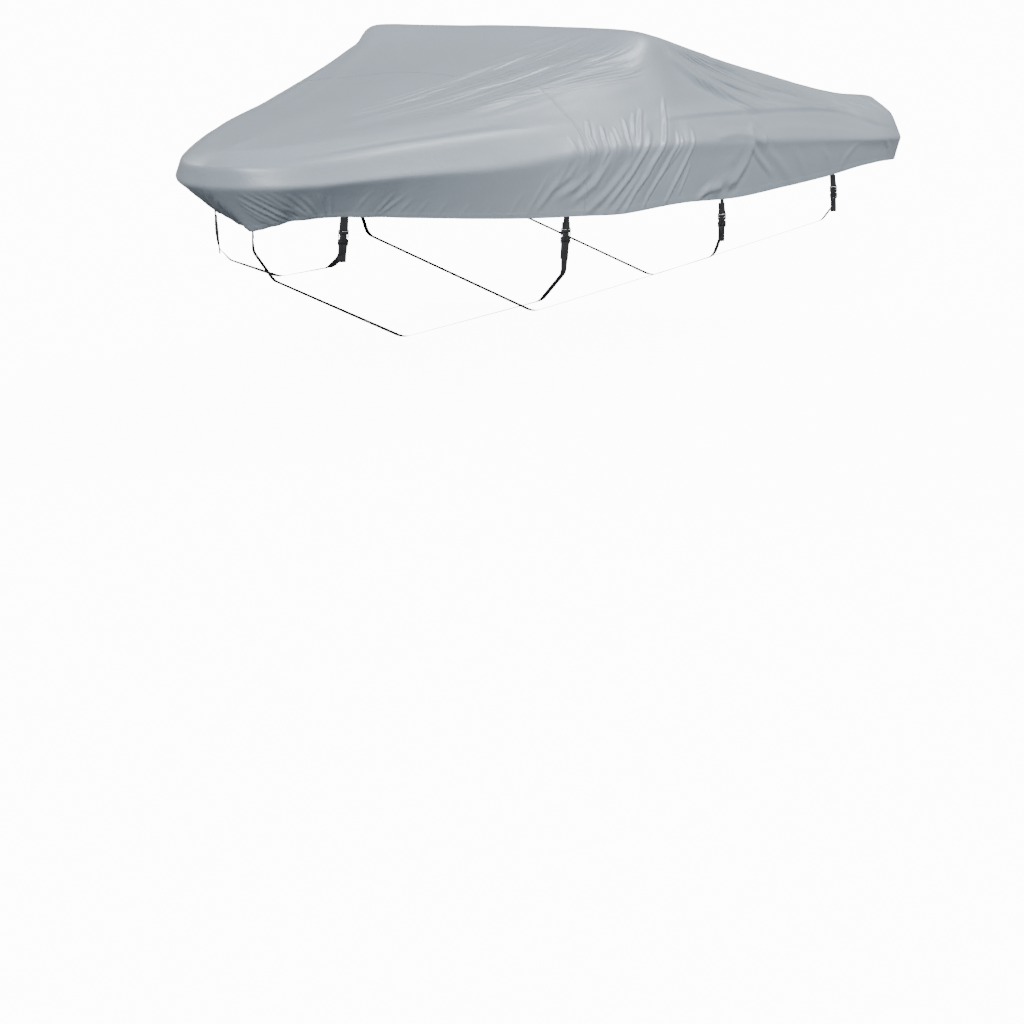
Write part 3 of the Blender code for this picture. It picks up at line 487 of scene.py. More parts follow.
def taut(run, girth):
    """The cloth with no folds, before the origin is set."""
    run, girth = alike(run, girth)
    point = section_point(lines_at(run), from_hem(girth))
    return np.where((girth > SPINE)[..., None], point, point * MIRROR)


def normal_of(place, run, girth, step=0.004):
    """Outward unit normal, the cross product of a surface's differences along run and girth."""
    on_spine = np.abs(girth - SPINE) < step
    run = np.where(on_spine, np.clip(run, step, LAST_RUN - step), run)
    along = place(run + step, girth) - place(run - step, girth)
    up = place(run, girth + step) - place(run, girth - step)
    return unit(np.cross(along, up))


def averaged(place, run, girth, reach, along_run):
    """The running mean of a surface, along run or along girth, where there is a reach, and
    the surface itself elsewhere."""
    result = place(run, girth)
    wide = reach > 0.002
    if wide.any():
        mean = 0.0
        for offset, weight in window(7):
            step = reach[wide] * offset
            mean = mean + weight * place(run[wide] + step * along_run,
                                         girth[wide] + step * (1 - along_run))
        result[wide] = mean
    return result


def soft_ridge(run, girth):
    """The taut cloth with its ridge forward of the windscreen rounded off, over up to 0.17
    of girth on each side."""
    side = from_hem(girth)
    last = np.where(girth > SPINE, 2.68, 3.08)
    forward = smooth_step((run - 0.35) / 0.5) * smooth_step((last - run) / 0.4)
    reach = 0.17 * forward * np.exp(-((side - 0.80) / 0.20)**2)
    return averaged(taut, run, girth, reach, 0)


def draped(run, girth):
    """The cloth that shows: a soft ridge, and the peak on the centre plane at the stem and
    the transom averaged along the run, so that it is round."""
    run, girth = alike(run, girth)
    side = from_hem(girth)
    away = np.minimum(np.abs(run), np.abs(LAST_RUN - run))
    reach = 0.085 * smooth_step((side - 0.36) / 0.40) * np.exp(-(away / 0.22)**2)
    return averaged(soft_ridge, run, girth, reach, 1)


def hem_drop(run, girth):
    """How far the worn cloth hangs below the solid's hem: a length for each run, faded out
    up the skirt, straight down and a little outwards."""
    shifts = (-0.06, -0.03, 0, 0.03, 0.06)
    length = sum(np.interp(run + shift, *HEM_DROPS) for shift in shifts) / len(shifts)
    length = length * np.clip(1 - from_hem(girth) / GIRTH_LINES[1], 0, 1)**2
    outwards = np.where(girth > SPINE, 0.05, -0.05)
    return np.stack([0 * length, outwards * length, -length], -1)


def fold_height(run, girth, fold):
    """A rounded ridge along a straight line: height times exp(-(across / width)^2)."""
    du, dv = fold.to_run - fold.run, fold.to_girth - fold.girth
    length = np.hypot(du, dv)
    along = ((run - fold.run) * du + (girth - fold.girth) * dv) / length**2
    across = ((run - fold.run) * dv - (girth - fold.girth) * du) / length
    inside = np.clip(along, 0, 1)
    width = fold.width + (fold.to_width - fold.width) * inside
    past = (along - inside) * length
    ends = np.clip(4 * inside * (1 - inside) + 0.25, 0, 1)
    return fold.height * ends * np.exp(-(across / width)**2 - (past / width)**2)


def dish_height(run, girth, dish):
    """A smooth hollow or swelling: height times exp(-(distance / radius)^2)."""
    away = ((run - dish.run)**2 + (girth - dish.girth)**2) / dish.radius**2
    return dish.height * np.exp(-away)


def gather_height(signed_run, girth):
    """Waves of the drawn hem, a sum of cosines of the run that fades upwards and aft."""
    fade = np.clip(1 - np.abs(signed_run) / GATHER_RUN, 0, 1)
    fade = fade * np.exp(-(girth / GATHER_GIRTH)**2)
    waves = [g.height * np.cos(2 * np.pi * signed_run / g.wave_length + g.phase) for g in GATHERS]
    return fade * sum(waves)


def summed(height_of, run, girth, rows):
    """Sum of the heights of folds, dishes or creases."""
    return sum(height_of(run, girth, row) for row in rows)


def relief(run, girth, fold_share=1.0, gather_share=1.0):
    """Height of the solid's folds, dishes and gathers, with a share of the folds and of the
    gathers alone."""
    side = from_hem(girth)
    port, star = (fold_share * summed(fold_height, run, side, folds)
                  + summed(dish_height, run, side, dishes)
                  for folds, dishes in ((PORT_FOLDS, PORT_DISHES),
                                        (STARBOARD_FOLDS, STARBOARD_DISHES)))
    share = starboard_share(girth, 0.15)
    ends = np.clip(np.minimum(run, LAST_RUN - run) / 0.25, 0, 1)
    signed_run = np.where(girth > SPINE, -run, run)
    return (port * (1 - share) + star * share) * ends + gather_share * gather_height(
        signed_run, side)


def crest_origin():
    """Underside of the solid's cloth at the middle of the windscreen crest."""
    run, girth = np.array(CREST_RUN), np.array(SPINE)
    height = relief(run, girth) - CLOTH_THICKNESS
    return taut(run, girth) + normal_of(taut, run, girth) * height


ORIGIN = crest_origin()


def solid_cloth(run, girth):
    """Outer face of the solid's cloth and its outward normals."""
    run, girth = alike(run, girth)
    normal = normal_of(taut, run, girth)
    return taut(run, girth) + normal * relief(run, girth)[..., None] - ORIGIN, normal


def crease_height(run, girth, crease):
    """A ridge along the nearest point of a polyline: height times a taper, which is the
    square root of sin(pi share), times exp(-1.1 (across / width)^1.5) less a shallow trough
    on each side.  The width differs on the two sides of the line."""
    points = crease.points
    pieces = np.diff(points, axis=0)
    lengths = np.hypot(*pieces.T)
    starts = lengths_along(points)
    nearest = np.full(run.shape, np.inf)
    side = np.zeros(run.shape)
    share = np.zeros(run.shape)
    for start, piece, length, before in zip(points, pieces, lengths, starts):
        x, y = run - start[0], girth - start[1]
        along = np.clip((x * piece[0] + y * piece[1]) / length**2, 0, 1)
        away = np.hypot(x - along * piece[0], y - along * piece[1])
        closer = away < nearest
        nearest = np.where(closer, away, nearest)
        side = np.where(closer, y * piece[0] - x * piece[1], side)
        share = np.where(closer, (before + along * length) / starts[-1], share)
    upper = side * np.sign(points[-1, 0] - points[0, 0] + 1e-9) > 0
    width = np.where(upper, crease.upper, crease.lower)
    across = nearest / width
    ridge = np.exp(-1.1 * across**1.5) - 0.26 * np.exp(-((across - 2.0) / 0.8)**2)
    taper = np.sqrt(np.clip(np.sin(np.pi * np.clip(share, 0.004, 0.996)), 0, 1))
    return crease.height * taper * ridge


def crinkle(base, seed=7, count=40):
    """Faint unevenness of the whole cloth: a sum of plane waves through space, from 50 to
    260 mm long in seeded directions, each with a height in proportion to its length."""
    draw = np.random.default_rng(seed)
    length = draw.uniform(0.05, 0.26, count)
    ways = unit(draw.normal(size=(count, 3)))
    phase = draw.uniform(0, 2 * np.pi, count)
    height = np.zeros(base.shape[:-1])
    for each, way, start in zip(length, ways, phase):
        height += each * np.cos(2 * np.pi * (base @ way) / each + start)
    return height * CRINKLE_SHARE


def fine_relief(run, girth, base):
    """Height of the worn cloth's creases, with less of the solid's broad folds.  Round the
    tabs it goes over to the solid's own relief, so that tab and cloth stay together."""
    side = from_hem(girth)
    port, star = (summed(crease_height, run, side, folds) + summed(dish_height, run, side, dishes)
                  for folds, dishes in ((PORT_CREASES, EASED_PORT),
                                        (STARBOARD_CREASES, EASED_STARBOARD)))
    pouch = summed(crease_height, run, side, POUCH_CREASES)
    pouch = pouch * (0.45 + 0.55 * smooth_step(side / 0.05))
    share = starboard_share(girth, 0.05)
    ends = smooth_step(np.minimum(run, LAST_RUN - run) / 0.08)
    folded = (port * (1 - share) + star * share + pouch) * ends
    folded = folded + crinkle(base) + relief(run, girth, FOLD_SHARE, GATHER_SHARE)
    near_tab = 0.0
    for strap in STRAPS:
        at = np.exp(-((run - strap.run) / 0.045)**4 - (side / 0.075)**4)
        near_tab = np.maximum(near_tab, at)
    return folded * (1 - near_tab) + relief(run, girth) * near_tab


# ------------------------------------------------------------------ meshes
def ring_quads(index):
    """Quads between neighbouring rows of vertex numbers, each row a ring."""
    after = np.roll(index, -1, axis=1)
    return np.stack([index[:-1], after[:-1], after[1:], index[1:]], -1).reshape(-1, 4)


def put_mesh(name, points, faces, uvs, material):
    """An object from arrays of points, blocks of faces with as many corners each, and for
    each corner its place on the cloth."""
    mesh = bpy.data.meshes.new(name)
    corners = np.concatenate([block.ravel() for block in faces])
    totals = np.repeat([block.shape[1] for block in faces], [len(block) for block in faces])
    mesh.vertices.add(len(points))
    mesh.vertices.foreach_set("co", np.asarray(points, np.float32).ravel())
    mesh.loops.add(len(corners))
    mesh.loops.foreach_set("vertex_index", corners.astype(np.int32))
    mesh.polygons.add(len(totals))
    starts = np.concatenate([[0], np.cumsum(totals)[:-1]])
    mesh.polygons.foreach_set("loop_start", starts.astype(np.int32))
    mesh.polygons.foreach_set("use_smooth", np.ones(len(totals), bool))
    mesh.update(calc_edges=True)
    if uvs is not None:
        layer = mesh.uv_layers.new(name="lay")
        layer.uv.foreach_set("vector", np.asarray(uvs, np.float32).ravel())
    if mesh.validate(clean_customdata=False):
        raise RuntimeError(f"{name} has bad faces")
    piece = bpy.data.objects.new(name, mesh)
    bpy.context.scene.collection.objects.link(piece)
    mesh.materials.append(material)
    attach(piece, "root")
    return piece


def spread(stops):
    """Values from one stop to the next in even steps: rows of end and greatest step."""
    values = [np.array([stops[0]])]
    for end, step in stops[1:]:
        before = values[-1][-1]
        count = max(1, int(np.ceil((end - before) / step - 1e-9)))
        values.append(np.linspace(before, end, count + 1)[1:])
    return np.concatenate(values)


def lowest_near(heights, rows, columns):
    """The lowest height within some rows and columns of each place."""
    low = heights.copy()
    for count, axis in ((rows, 0), (columns, 1)):
        moved = low
        for shift in range(1, count + 1):
            for way in (shift, -shift):
                rolled = np.roll(moved, way, axis=axis)
                edge = [slice(None)] * 2
                edge[axis] = slice(0, way) if way > 0 else slice(way, None)
                rolled[tuple(edge)] = np.inf
                low = np.minimum(low, rolled)
    return low


def turned_hem(base, outer, normal, edge, back, turn):
    """Half a circle from the outer face round one hem, for each run."""
    down = unit(base[:, edge] - base[:, back])[:, None]
    middle = (outer[:, edge] - normal[:, edge] * HEM_ROLL)[:, None]
    return (middle + normal[:, edge][:, None] * (HEM_ROLL * np.cos(turn))[:, None]
            + down * (HEM_ROLL * np.sin(turn))[:, None])


def cloth_rings(runs, girths, raised, end):
    """For each run a ring of points round both faces of the sheet, and each point's run and
    girth.  The outer face is the cloth plus its creases along the normal.  At each hem half
    a circle turns it to the inner face, which takes every fourth row and lies one thickness
    below the lowest of the outer face near it.  Towards the closed end the two sides'
    girths become alike."""
    run, girth = np.meshgrid(runs, girths, indexing="ij")
    to_alike = (FULL_GIRTH - girths[::-1] - girths) / 2
    girth = girth + to_alike * smooth_step(1 - np.abs(run - end) / 0.40)
    base, normal = draped(run, girth) - ORIGIN, normal_of(draped, run, girth)
    height = fine_relief(run, girth, base) + raised(run, girth)
    base = base + hem_drop(run, girth)
    outer = base + normal * height[..., None]
    inner_height = lowest_near(height, 1, INNER_SKIP) - SHEET_THICKNESS
    at_hem = np.exp(-(from_hem(girth) / 0.012)**2)
    inner_height = inner_height * (1 - at_hem) + (height - 2 * HEM_ROLL) * at_hem
    picks = slice(None, None, INNER_SKIP)
    inner = (base + normal * inner_height[..., None])[:, picks]
    ring = np.concatenate([outer, turned_hem(base, outer, normal, -1, -2, HEM_TURN),
                           inner[:, ::-1], turned_hem(base, outer, normal, 0, 1, HEM_TURN[::-1])],
                          axis=1)
    lies = np.zeros((len(runs), len(HEM_TURN)))
    ring_girth = np.concatenate([girth, lies + FULL_GIRTH, girth[:, picks][:, ::-1], lies], axis=1)
    ring_run = np.broadcast_to(runs[:, None], ring_girth.shape)
    return ring, np.stack([ring_run, ring_girth], -1)


def seam_wall(ring, many):
    """Triangles between the two faces along the seam, from the vertex numbers of its ring:
    fans over the rows that the inner face skips, and one at each turned hem."""
    roll = len(HEM_TURN)
    out, into = ring[:many], ring[many + roll:-roll][::-1]
    fan = np.stack([out[:-1], out[1:], np.repeat(into[:-1], INNER_SKIP)], -1)
    step = np.stack([out[INNER_SKIP::INNER_SKIP], into[1:], into[:-1]], -1)
    hem_fans = []
    for end, turned in ((0, ring[-roll:][::-1]), (-1, ring[many:many + roll])):
        rim = np.concatenate([out[[end]], turned])
        hem_fans.append(np.stack([rim[:-1], rim[1:], np.full(roll, into[end])], -1))
    return np.concatenate([fan, step, hem_fans[0][:, ::-1], hem_fans[1]])


def sheet_of_cloth(name, runs, girths, raised, material, closed_first):
    """A closed thin sheet.  Its port and starboard edges are one at the stem or the middle
    of the transom, and a wall closes it along the seam."""
    ring, place = cloth_rings(runs, girths, raised, 0.0 if closed_first else LAST_RUN)
    rows, columns = ring.shape[:2]
    shut, seam = (0, -1) if closed_first else (-1, 0)
    many, roll = len(girths), len(HEM_TURN)
    index = np.arange(rows * columns).reshape(rows, columns)
    own = np.arange(columns)
    outer, star_roll, inner, port_roll = np.split(own, (many, many + roll, columns - roll))
    mirror = np.concatenate([part[::-1] for part in (outer, port_roll, inner, star_roll)])
    index[shut] = index[shut][np.minimum(own, mirror)]
    after = np.roll(own, -1)
    quads, uv = (np.stack([each[:-1, own], each[1:, own], each[1:, after], each[:-1, after]], 2)
                 for each in (index, place))
    quads, uv = quads.reshape(-1, 4), uv.reshape(-1, 4, 2)

    # where the edges meet, a quad has two corners in one, or has shrunk to a line
    first, second = quads[:, 0] == quads[:, 3], quads[:, 1] == quads[:, 2]
    whole, corner = ~first & ~second, first ^ second
    at_first = first[corner, None]
    triangles = np.where(at_first, quads[corner][:, :3], quads[corner][:, [0, 1, 3]])
    triangle_uv = np.where(at_first[..., None], uv[corner][:, :3], uv[corner][:, [0, 1, 3]])

    wall = seam_wall(index[seam], many)
    if not closed_first:
        wall = wall[:, ::-1]
    triangles = np.concatenate([triangles, wall])
    triangle_uv = np.concatenate([triangle_uv, place.reshape(-1, 2)[wall]])
    quads, uv = quads[whole], uv[whole]
    used = np.unique(np.concatenate([quads.ravel(), triangles.ravel()]))
    renumber = np.zeros(index.size, int)
    renumber[used] = np.arange(len(used))
    return put_mesh(name, ring.reshape(-1, 3)[used], [renumber[quads], renumber[triangles]],
                    np.concatenate([uv.reshape(-1, 2), triangle_uv.reshape(-1, 2)]), material)


def hem_raise(run, girth):
    """The hem is doubled cloth: a step of its own height up to the hem's width."""
    return HEM_RAISE * np.clip((HEM_WIDTH + 0.001 - from_hem(girth)) / 0.002, 0, 1)


def aft_raise(run, girth):
    """The aft panel lies over the bow panel along the seam, as a raised band."""
    band = np.clip((SEAM_RUN + SEAM_OVERLAP + 0.004 - run) / 0.004, 0, 1)
    return hem_raise(run, girth) + SEAM_RAISE * band


def web_profile(width, thickness, flat=5):
    """Section of webbing: across and outwards, flat on both faces and round at the edges."""
    half, round_off = width / 2, thickness / 2
    across = np.linspace(-(half - round_off), half - round_off, flat)
    edge = np.linspace(-np.pi / 2, np.pi / 2, 5)[1:-1]
    over = np.concatenate([across, half - round_off + round_off * np.cos(edge[::-1])])
    out = np.concatenate([np.full(flat, round_off), round_off * np.sin(edge[::-1])])
    return np.concatenate([over, -over]), np.concatenate([out, -out])


def path_frames(points, hints):
    """Across and outward directions along a path, from the way it runs and a hint."""
    way = unit(np.gradient(points, axis=0))
    across = unit(hints - way * (hints * way).sum(-1, keepdims=True))
    return across, unit(np.cross(across, way))


# ------------------------------------------------------------------ shells, straps, buckles
def signed_volume(points, quads, caps):
    """Six times the volume inside a shell: the sum of a . (b x c) over its triangles."""
    triangles = [quads[:, [0, 1, 2]], quads[:, [0, 2, 3]]]
    for cap in caps:
        fan = cap[0]
        triangles.append(np.stack([np.full(len(fan) - 2, fan[0]), fan[1:-1], fan[2:]], -1))
    a, b, c = np.moveaxis(points[np.concatenate(triangles)], 1, 0)
    return (a * np.cross(b, c)).sum()


def put_shells(name, shells, material, uvs=None):
    """One object of closed shells.  Each is a stack of rings, joined ring to ring, with its
    ends capped or, for a loop, joined to each other.  A shell that is inside out is turned."""
    points, quads, caps = [], [], []
    start = 0
    for ring, loop in shells:
        rows, columns = ring.shape[:2]
        index = start + np.arange(rows * columns).reshape(rows, columns)
        if loop:
            index = np.concatenate([index, index[:1]])
        sides = ring_quads(index)
        ends = [] if loop else [index[0][::-1][None], index[-1][None]]
        own = ring.reshape(-1, 3)
        points.append(own)
        middle = own.mean(axis=0)
        if signed_volume(own - middle, sides - start, [end - start for end in ends]) < 0:
            sides, ends = sides[:, ::-1], [end[:, ::-1] for end in ends]
        quads.append(sides)
        caps += ends
        start += len(own)
    quads = np.concatenate(quads)
    blocks = [quads] + caps
    flat_uv = None
    if uvs is not None:
        place = np.concatenate([uv.reshape(-1, 2) for uv in uvs])
        flat_uv = place[np.concatenate([block.ravel() for block in blocks])]
    piece = put_mesh(name, np.concatenate(points), blocks, flat_uv, material)
    smooth = np.arange(len(piece.data.polygons)) < len(quads)
    piece.data.polygons.foreach_set("use_smooth", smooth)
    return piece


def squircle(half_wide, half_thick, count=20, power=3.2):
    """Ring of a superellipse: |x / a|^n + |y / b|^n = 1."""
    turn = np.arange(count) * 2 * np.pi / count
    bend = 2 / power
    x = np.sign(np.cos(turn)) * np.abs(np.cos(turn))**bend
    y = np.sign(np.sin(turn)) * np.abs(np.sin(turn))**bend
    return np.stack([x * half_wide, y * half_thick], -1)


def lofted(stations, count=20, power=3.2, between=4):
    """Superellipse rings along y.  Each station is y, middle x, half width, half thickness,
    and the rings between two stations follow a smooth step from one to the next."""
    table = np.array(stations, float)
    ease = smooth_step(np.arange(between) / between)
    rows = table[:-1, None] + np.diff(table, axis=0)[:, None] * ease[:, None]
    rows = np.concatenate([rows.reshape(-1, 4), table[-1:]])
    rings = np.stack([squircle(w, t, count, power) for _, _, w, t in rows])
    x = rings[..., 0] + rows[:, 1:2]
    y = np.broadcast_to(rows[:, :1], x.shape)
    return np.stack([x, y, rings[..., 1]], -1)


def bent_bar(path, half_wide, half_thick, loop=False, count=14, power=2.6):
    """A superellipse section carried along a path that lies in the plane of the plate."""
    path = np.array(path, float)
    way = unit(np.roll(path, -1, axis=0) - np.roll(path, 1, axis=0) if loop
               else np.gradient(path, axis=0))
    beside = np.stack([way[:, 1], -way[:, 0]], -1)
    ring = squircle(half_wide, half_thick, count, power)
    taper = np.ones(len(path))
    if not loop:
        taper[[0, -1]] = BAR_END_SHARE
    flat = path[:, None] + beside[:, None] * (ring[:, :1] * taper[:, None, None])
    out = ring[:, 1] * taper[:, None]
    return np.concatenate([flat, out[..., None]], -1)


def round_frame(half_x, low_y, high_y, radius, arc=5):
    """A rectangle in the plane of the plate with each corner an arc."""
    turns = np.linspace(0, np.pi / 2, arc)
    middle = ((half_x - radius, high_y - radius), (-half_x + radius, high_y - radius),
              (-half_x + radius, low_y + radius), (half_x - radius, low_y + radius))
    return np.concatenate([np.stack([x + radius * np.cos(turns + k * np.pi / 2),
                                     y + radius * np.sin(turns + k * np.pi / 2)], -1)
                           for k, (x, y) in enumerate(middle)])


def bar_across(y, half_length=0.0212, half_wide=BAR_RADIUS, half_thick=BAR_RADIUS, lift=0.0,
               **form):
    """A straight bar or rib across a buckle, at this distance down it and this height."""
    path = np.stack([np.linspace(-half_length, half_length, 7), np.full(7, y)], -1)
    return bent_bar(path, half_wide, half_thick, **form) + np.array([0, 0, lift])


def plug_shells():
    """Upper half of the buckle in its own axes: x across, y down, z outwards."""
    half, deep = BUCKLE_WIDTH / 2, PLUG_LENGTH
    frame_bar = bent_bar(round_frame(half - 0.0020, 0.0022, 0.0150, 0.0040), 0.0020, 0.0034,
                         loop=True)
    body = lofted(((0.0086, 0, half - 0.0022, 0.0024), (0.0108, 0, half - 0.0006, 0.0044),
                   (0.0180, 0, half - 0.0004, 0.0054), (deep - 0.0010, 0, half - 0.0010, 0.0054),
                   (deep - 0.0001, 0, half - 0.0026, 0.0044)), count=28, power=5.0)
    shells = [(frame_bar, True), (bar_across(BAR_IN, power=2.0), False), (body, False)]
    for side in (-1, 1):
        path = np.array([(0.0206, deep - 0.003), (0.0214, deep + 0.003), (0.0216, deep + 0.008),
                         (0.0208, deep + 0.012), (0.0196, deep + PRONG_LENGTH - 0.0008)])
        shells.append((bent_bar(path * (side, 1), 0.0022, 0.0040, power=3.5), False))
    for y in (0.0148, 0.0172, 0.0196):
        shells.append((bar_across(y, 0.012, 0.0006, 0.0010, 0.0050, count=8), False))
    return shells


def socket_shells():
    """Lower half of the buckle in its own axes, with the plug's prongs beside its waist."""
    half, waist = BUCKLE_WIDTH / 2, 0.0160
    body = lofted(((0.0004, 0, waist - 0.0020, 0.0040), (0.0016, 0, waist, 0.0056),
                   (0.0175, 0, waist, 0.0059), (0.0205, 0, half - 0.0012, 0.0059),
                   (0.0225, 0, half - 0.0002, 0.0058), (0.0375, 0, half - 0.0002, 0.0052),
                   (0.0405, 0, half - 0.0010, 0.0040), (0.0416, 0, half - 0.0030, 0.0024)),
                  count=32, power=4.6)
    ring = bent_bar(round_frame(half - 0.0022, 0.0350, SOCKET_LENGTH - 0.0020, 0.0044), 0.0020,
                    0.0034, loop=True)
    bar = bar_across(SOCKET_LENGTH - BAR_IN, power=2.0)
    shells = [(body, False), (ring, True), (bar, False)]
    for y in (0.0262, 0.0292, 0.0322, 0.0352):
        shells.append((bar_across(y, 0.014, 0.0007, 0.0011, 0.0052, count=8), False))
    rim = bent_bar(round_frame(0.0105, 0.0050, 0.0160, 0.0040), 0.0006, 0.0009, loop=True, count=8)
    shells.append((rim + np.array([0, 0, 0.0056]), True))
    return shells


def in_world(shells, start, side):
    """Shells moved from their own axes to a buckle's place and directions."""
    axes = np.stack([side.wide, side.down, side.out])
    return [(start + ring @ axes, loop) for ring, loop in shells]


def strap_frame(along, hint, side, degrees):
    """Width and face directions of a strap that runs along one way, turned about it."""
    across = unit(hint - along * (hint @ along))
    face = unit(np.cross(across, along)) * side
    angle = np.radians(degrees)
    return (across * np.cos(angle) + face * np.sin(angle),
            face * np.cos(angle) - across * np.sin(angle))


def tab_edges(strap):
    """Runs of the two edges of a tab, its width apart along the hem."""
    ends = np.array([-WEB_WIDTH / 2, WEB_WIDTH / 2])
    hem = taut(strap.run + ends, 0.0)
    return strap.run + ends * (WEB_WIDTH / np.linalg.norm(hem[1] - hem[0]))


Side = namedtuple("Side", "label sign sewn sewn_across hem down hint wide out top mouth corners")


def side_of_strap(strap, sign):
    """Where a strap's tab, plug and socket lie on one side, as the solids have them: port
    for a sign of -1, starboard for 1."""
    label = f"{strap.name}_{'port' if sign < 0 else 'starboard'}"
    sewn, sewn_across = [], []
    for up in (TAB_SEWN, TAB_SEWN / 2, 0.0):
        girth = up if sign < 0 else FULL_GIRTH - up
        point, normal = solid_cloth(tab_edges(strap), girth)
        inside = point - normal * (CLOTH_THICKNESS + SEAT_GAP + WEB_THICKNESS / 2)
        sewn.append(inside.mean(axis=0))
        sewn_across.append(unit(inside[1] - inside[0]))
    hem = sewn[-1]
    corners = [np.array([hem[0], sign * out, up - ORIGIN[2]]) for out, up in
               ((strap.side_out, strap.side_up), (strap.chine_out, strap.chine_up))]
    down = unit(corners[0] - hem)
    hint = unit(sewn_across[-1] * np.array([1.0, 1.0, 0.0]))
    wide, out = strap_frame(down, hint, sign, strap.turn)
    top = hem + down * (strap.tab + SEAT_GAP)
    return Side(label, sign, sewn, sewn_across, hem, down, hint, wide, out, top,
                top + down * PLUG_LENGTH, corners)


def strap_sides():
    """Both sides of each strap."""
    return [(strap, [side_of_strap(strap, sign) for sign in (-1.0, 1.0)]) for strap in STRAPS]


def round_bar(middle, toward, out, first, last, count=9):
    """Points of an arc round a bar, from one angle to another; 90 degrees is outwards and 0
    is the way given."""
    turn = np.radians(np.linspace(first, last, count))[:, None]
    return middle + WRAP_RADIUS * (np.cos(turn) * toward + np.sin(turn) * out)


def put_webbing(name, points, hints, material, thickness):
    """Webbing along a path: its flat section carried along, with the distance along and
    the place across it kept for the weave."""
    across, outward = path_frames(points, hints)
    over, out = web_profile(WEB_WIDTH, thickness)
    ring = points[:, None] + across[:, None] * over[:, None] + outward[:, None] * out[:, None]
    place = np.stack(np.broadcast_arrays(lengths_along(points)[:, None], over), -1)
    return put_shells(name, [(ring, False)], material, [place])


def put_tab(strap, side, material, thickness):
    """A tab: sewn behind the hem, down outside the plug's bar, round it and halfway back up
    inside.  Its turn about its own length starts below the cloth and ends at the bar."""
    bar = side.top + side.down * BAR_IN
    drop = np.linalg.norm(bar - side.hem)
    share = np.linspace(0.12, 1.0, 8)[:, None]
    front = side.hem + side.down * drop * share + side.out * WRAP_RADIUS * share**2
    arc = round_bar(bar, side.down, side.out, 90, -90)[1:]
    back_share = np.linspace(0.97, 0.45, 6)[:, None]
    back = side.hem + side.down * drop * back_share + side.out * (
        WRAP_RADIUS * back_share**2 - WRAP_RADIUS - WEB_THICKNESS * 0.62)
    back = back + side.out * (WRAP_RADIUS * (1 - back_share) * 0.4 - 0.0009)
    points = np.concatenate([np.array(side.sewn), front, arc, back])
    turns = strap.turn * smooth_step((share[:, 0] - 0.30) / 0.70)
    turned = [strap_frame(side.down, side.hint, side.sign, turn)[0] for turn in turns]
    hints = np.concatenate([np.array(side.sewn_across), turned,
                            np.repeat(side.wide[None], len(arc) + len(back), axis=0)])
    piece = put_webbing(f"tab_webbing_{side.label}", points, hints, material, thickness)
    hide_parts(f"tab_{side.label}")


def rounded_path(corners, radii, arc_points=9):
    """A polyline with each inner corner replaced by an arc of its radius, and points every
    few centimetres on its straight stretches."""
    path = [corners[0][None]]
    for before, corner, after, radius in zip(corners, corners[1:], corners[2:], radii):
        back, ahead = unit(before - corner), unit(after - corner)
        half_angle = np.arccos(np.clip(back @ ahead, -1, 1)) / 2
        reach = radius / np.tan(half_angle)
        centre = corner + unit(back + ahead) * radius / np.sin(half_angle)
        first, last = corner + back * reach, corner + ahead * reach
        share = np.linspace(0, 1, arc_points)[:, None]
        outwards = unit((first - centre) * (1 - share) + (last - centre) * share)
        path.append(centre + outwards * radius)
    path.append(corners[-1][None])
    dense = [path[0]]
    for stretch in path[1:]:
        gap = stretch[0] - dense[-1][-1]
        count = max(1, int(np.linalg.norm(gap) / 0.03))
        dense.append(dense[-1][-1] + gap * (np.arange(1, count)[:, None] / count))
        dense.append(stretch)
    return np.concatenate([block for block in dense if len(block)])


def put_belly_strap(strap, sides, material, thickness):
    """A belly strap: its tail behind, round the bar of the port socket, down the side, round
    chine and keel, and up to the starboard socket in the same way."""
    port, star = sides
    bars = [side.mouth + side.down * (SOCKET_LENGTH - BAR_IN) for side in sides]
    keel = np.array([port.top[0], 0.0, strap.keel_up - ORIGIN[2]])
    corners = [bars[0]] + port.corners + [keel] + star.corners[::-1] + [bars[1]]
    path = rounded_path(corners, (SIDE_RADIUS, CHINE_RADIUS, KEEL_RADIUS, CHINE_RADIUS,
                                  SIDE_RADIUS))
    gone = lengths_along(path)
    left = gone[-1] - gone
    lift = WRAP_RADIUS * (np.exp(-(gone / 0.03)**2)[:, None] * port.out
                          + np.exp(-(left / 0.03)**2)[:, None] * star.out)
    along = unit(np.gradient(path, axis=0))
    first_stretch = np.linalg.norm(port.corners[0] - bars[0]) - SIDE_RADIUS / 2
    eased = [np.clip(1 - each / first_stretch, 0, 1) for each in (gone, left)]
    share = 2 * gone / gone[-1] - 1
    straight = np.array([1.0, 0.0, 0.0])
    hints = []
    for way, near, far, s in zip(along, eased[0], eased[1], share):
        hint = (port.hint if s < 0 else star.hint) * abs(s) + straight * (1 - abs(s))
        hints.append(strap_frame(way, hint, -1.0, strap.turn * max(near, far))[0])
    path = path + lift
    tail_share = np.linspace(1, 0.06, 7)[:, None]
    ends = []
    for side, bar in zip(sides, bars):
        tail = bar + side.down * TAIL_LENGTH * tail_share - side.out * (
            WRAP_RADIUS + 0.0006 * tail_share)
        arc = round_bar(bar, -side.down, side.out, -90, 90)[:-1]
        ends.append(np.concatenate([tail, arc]))
    points = np.concatenate([ends[0], path[1:-1], ends[1][::-1]])
    hints = np.concatenate([np.repeat(port.wide[None], len(ends[0]), axis=0), hints[1:-1],
                            np.repeat(star.wide[None], len(ends[1]), axis=0)])
    piece = put_webbing(f"belly_webbing_{strap.name}", points, hints, material, thickness)
    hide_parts(f"belly_strap_{strap.name}")


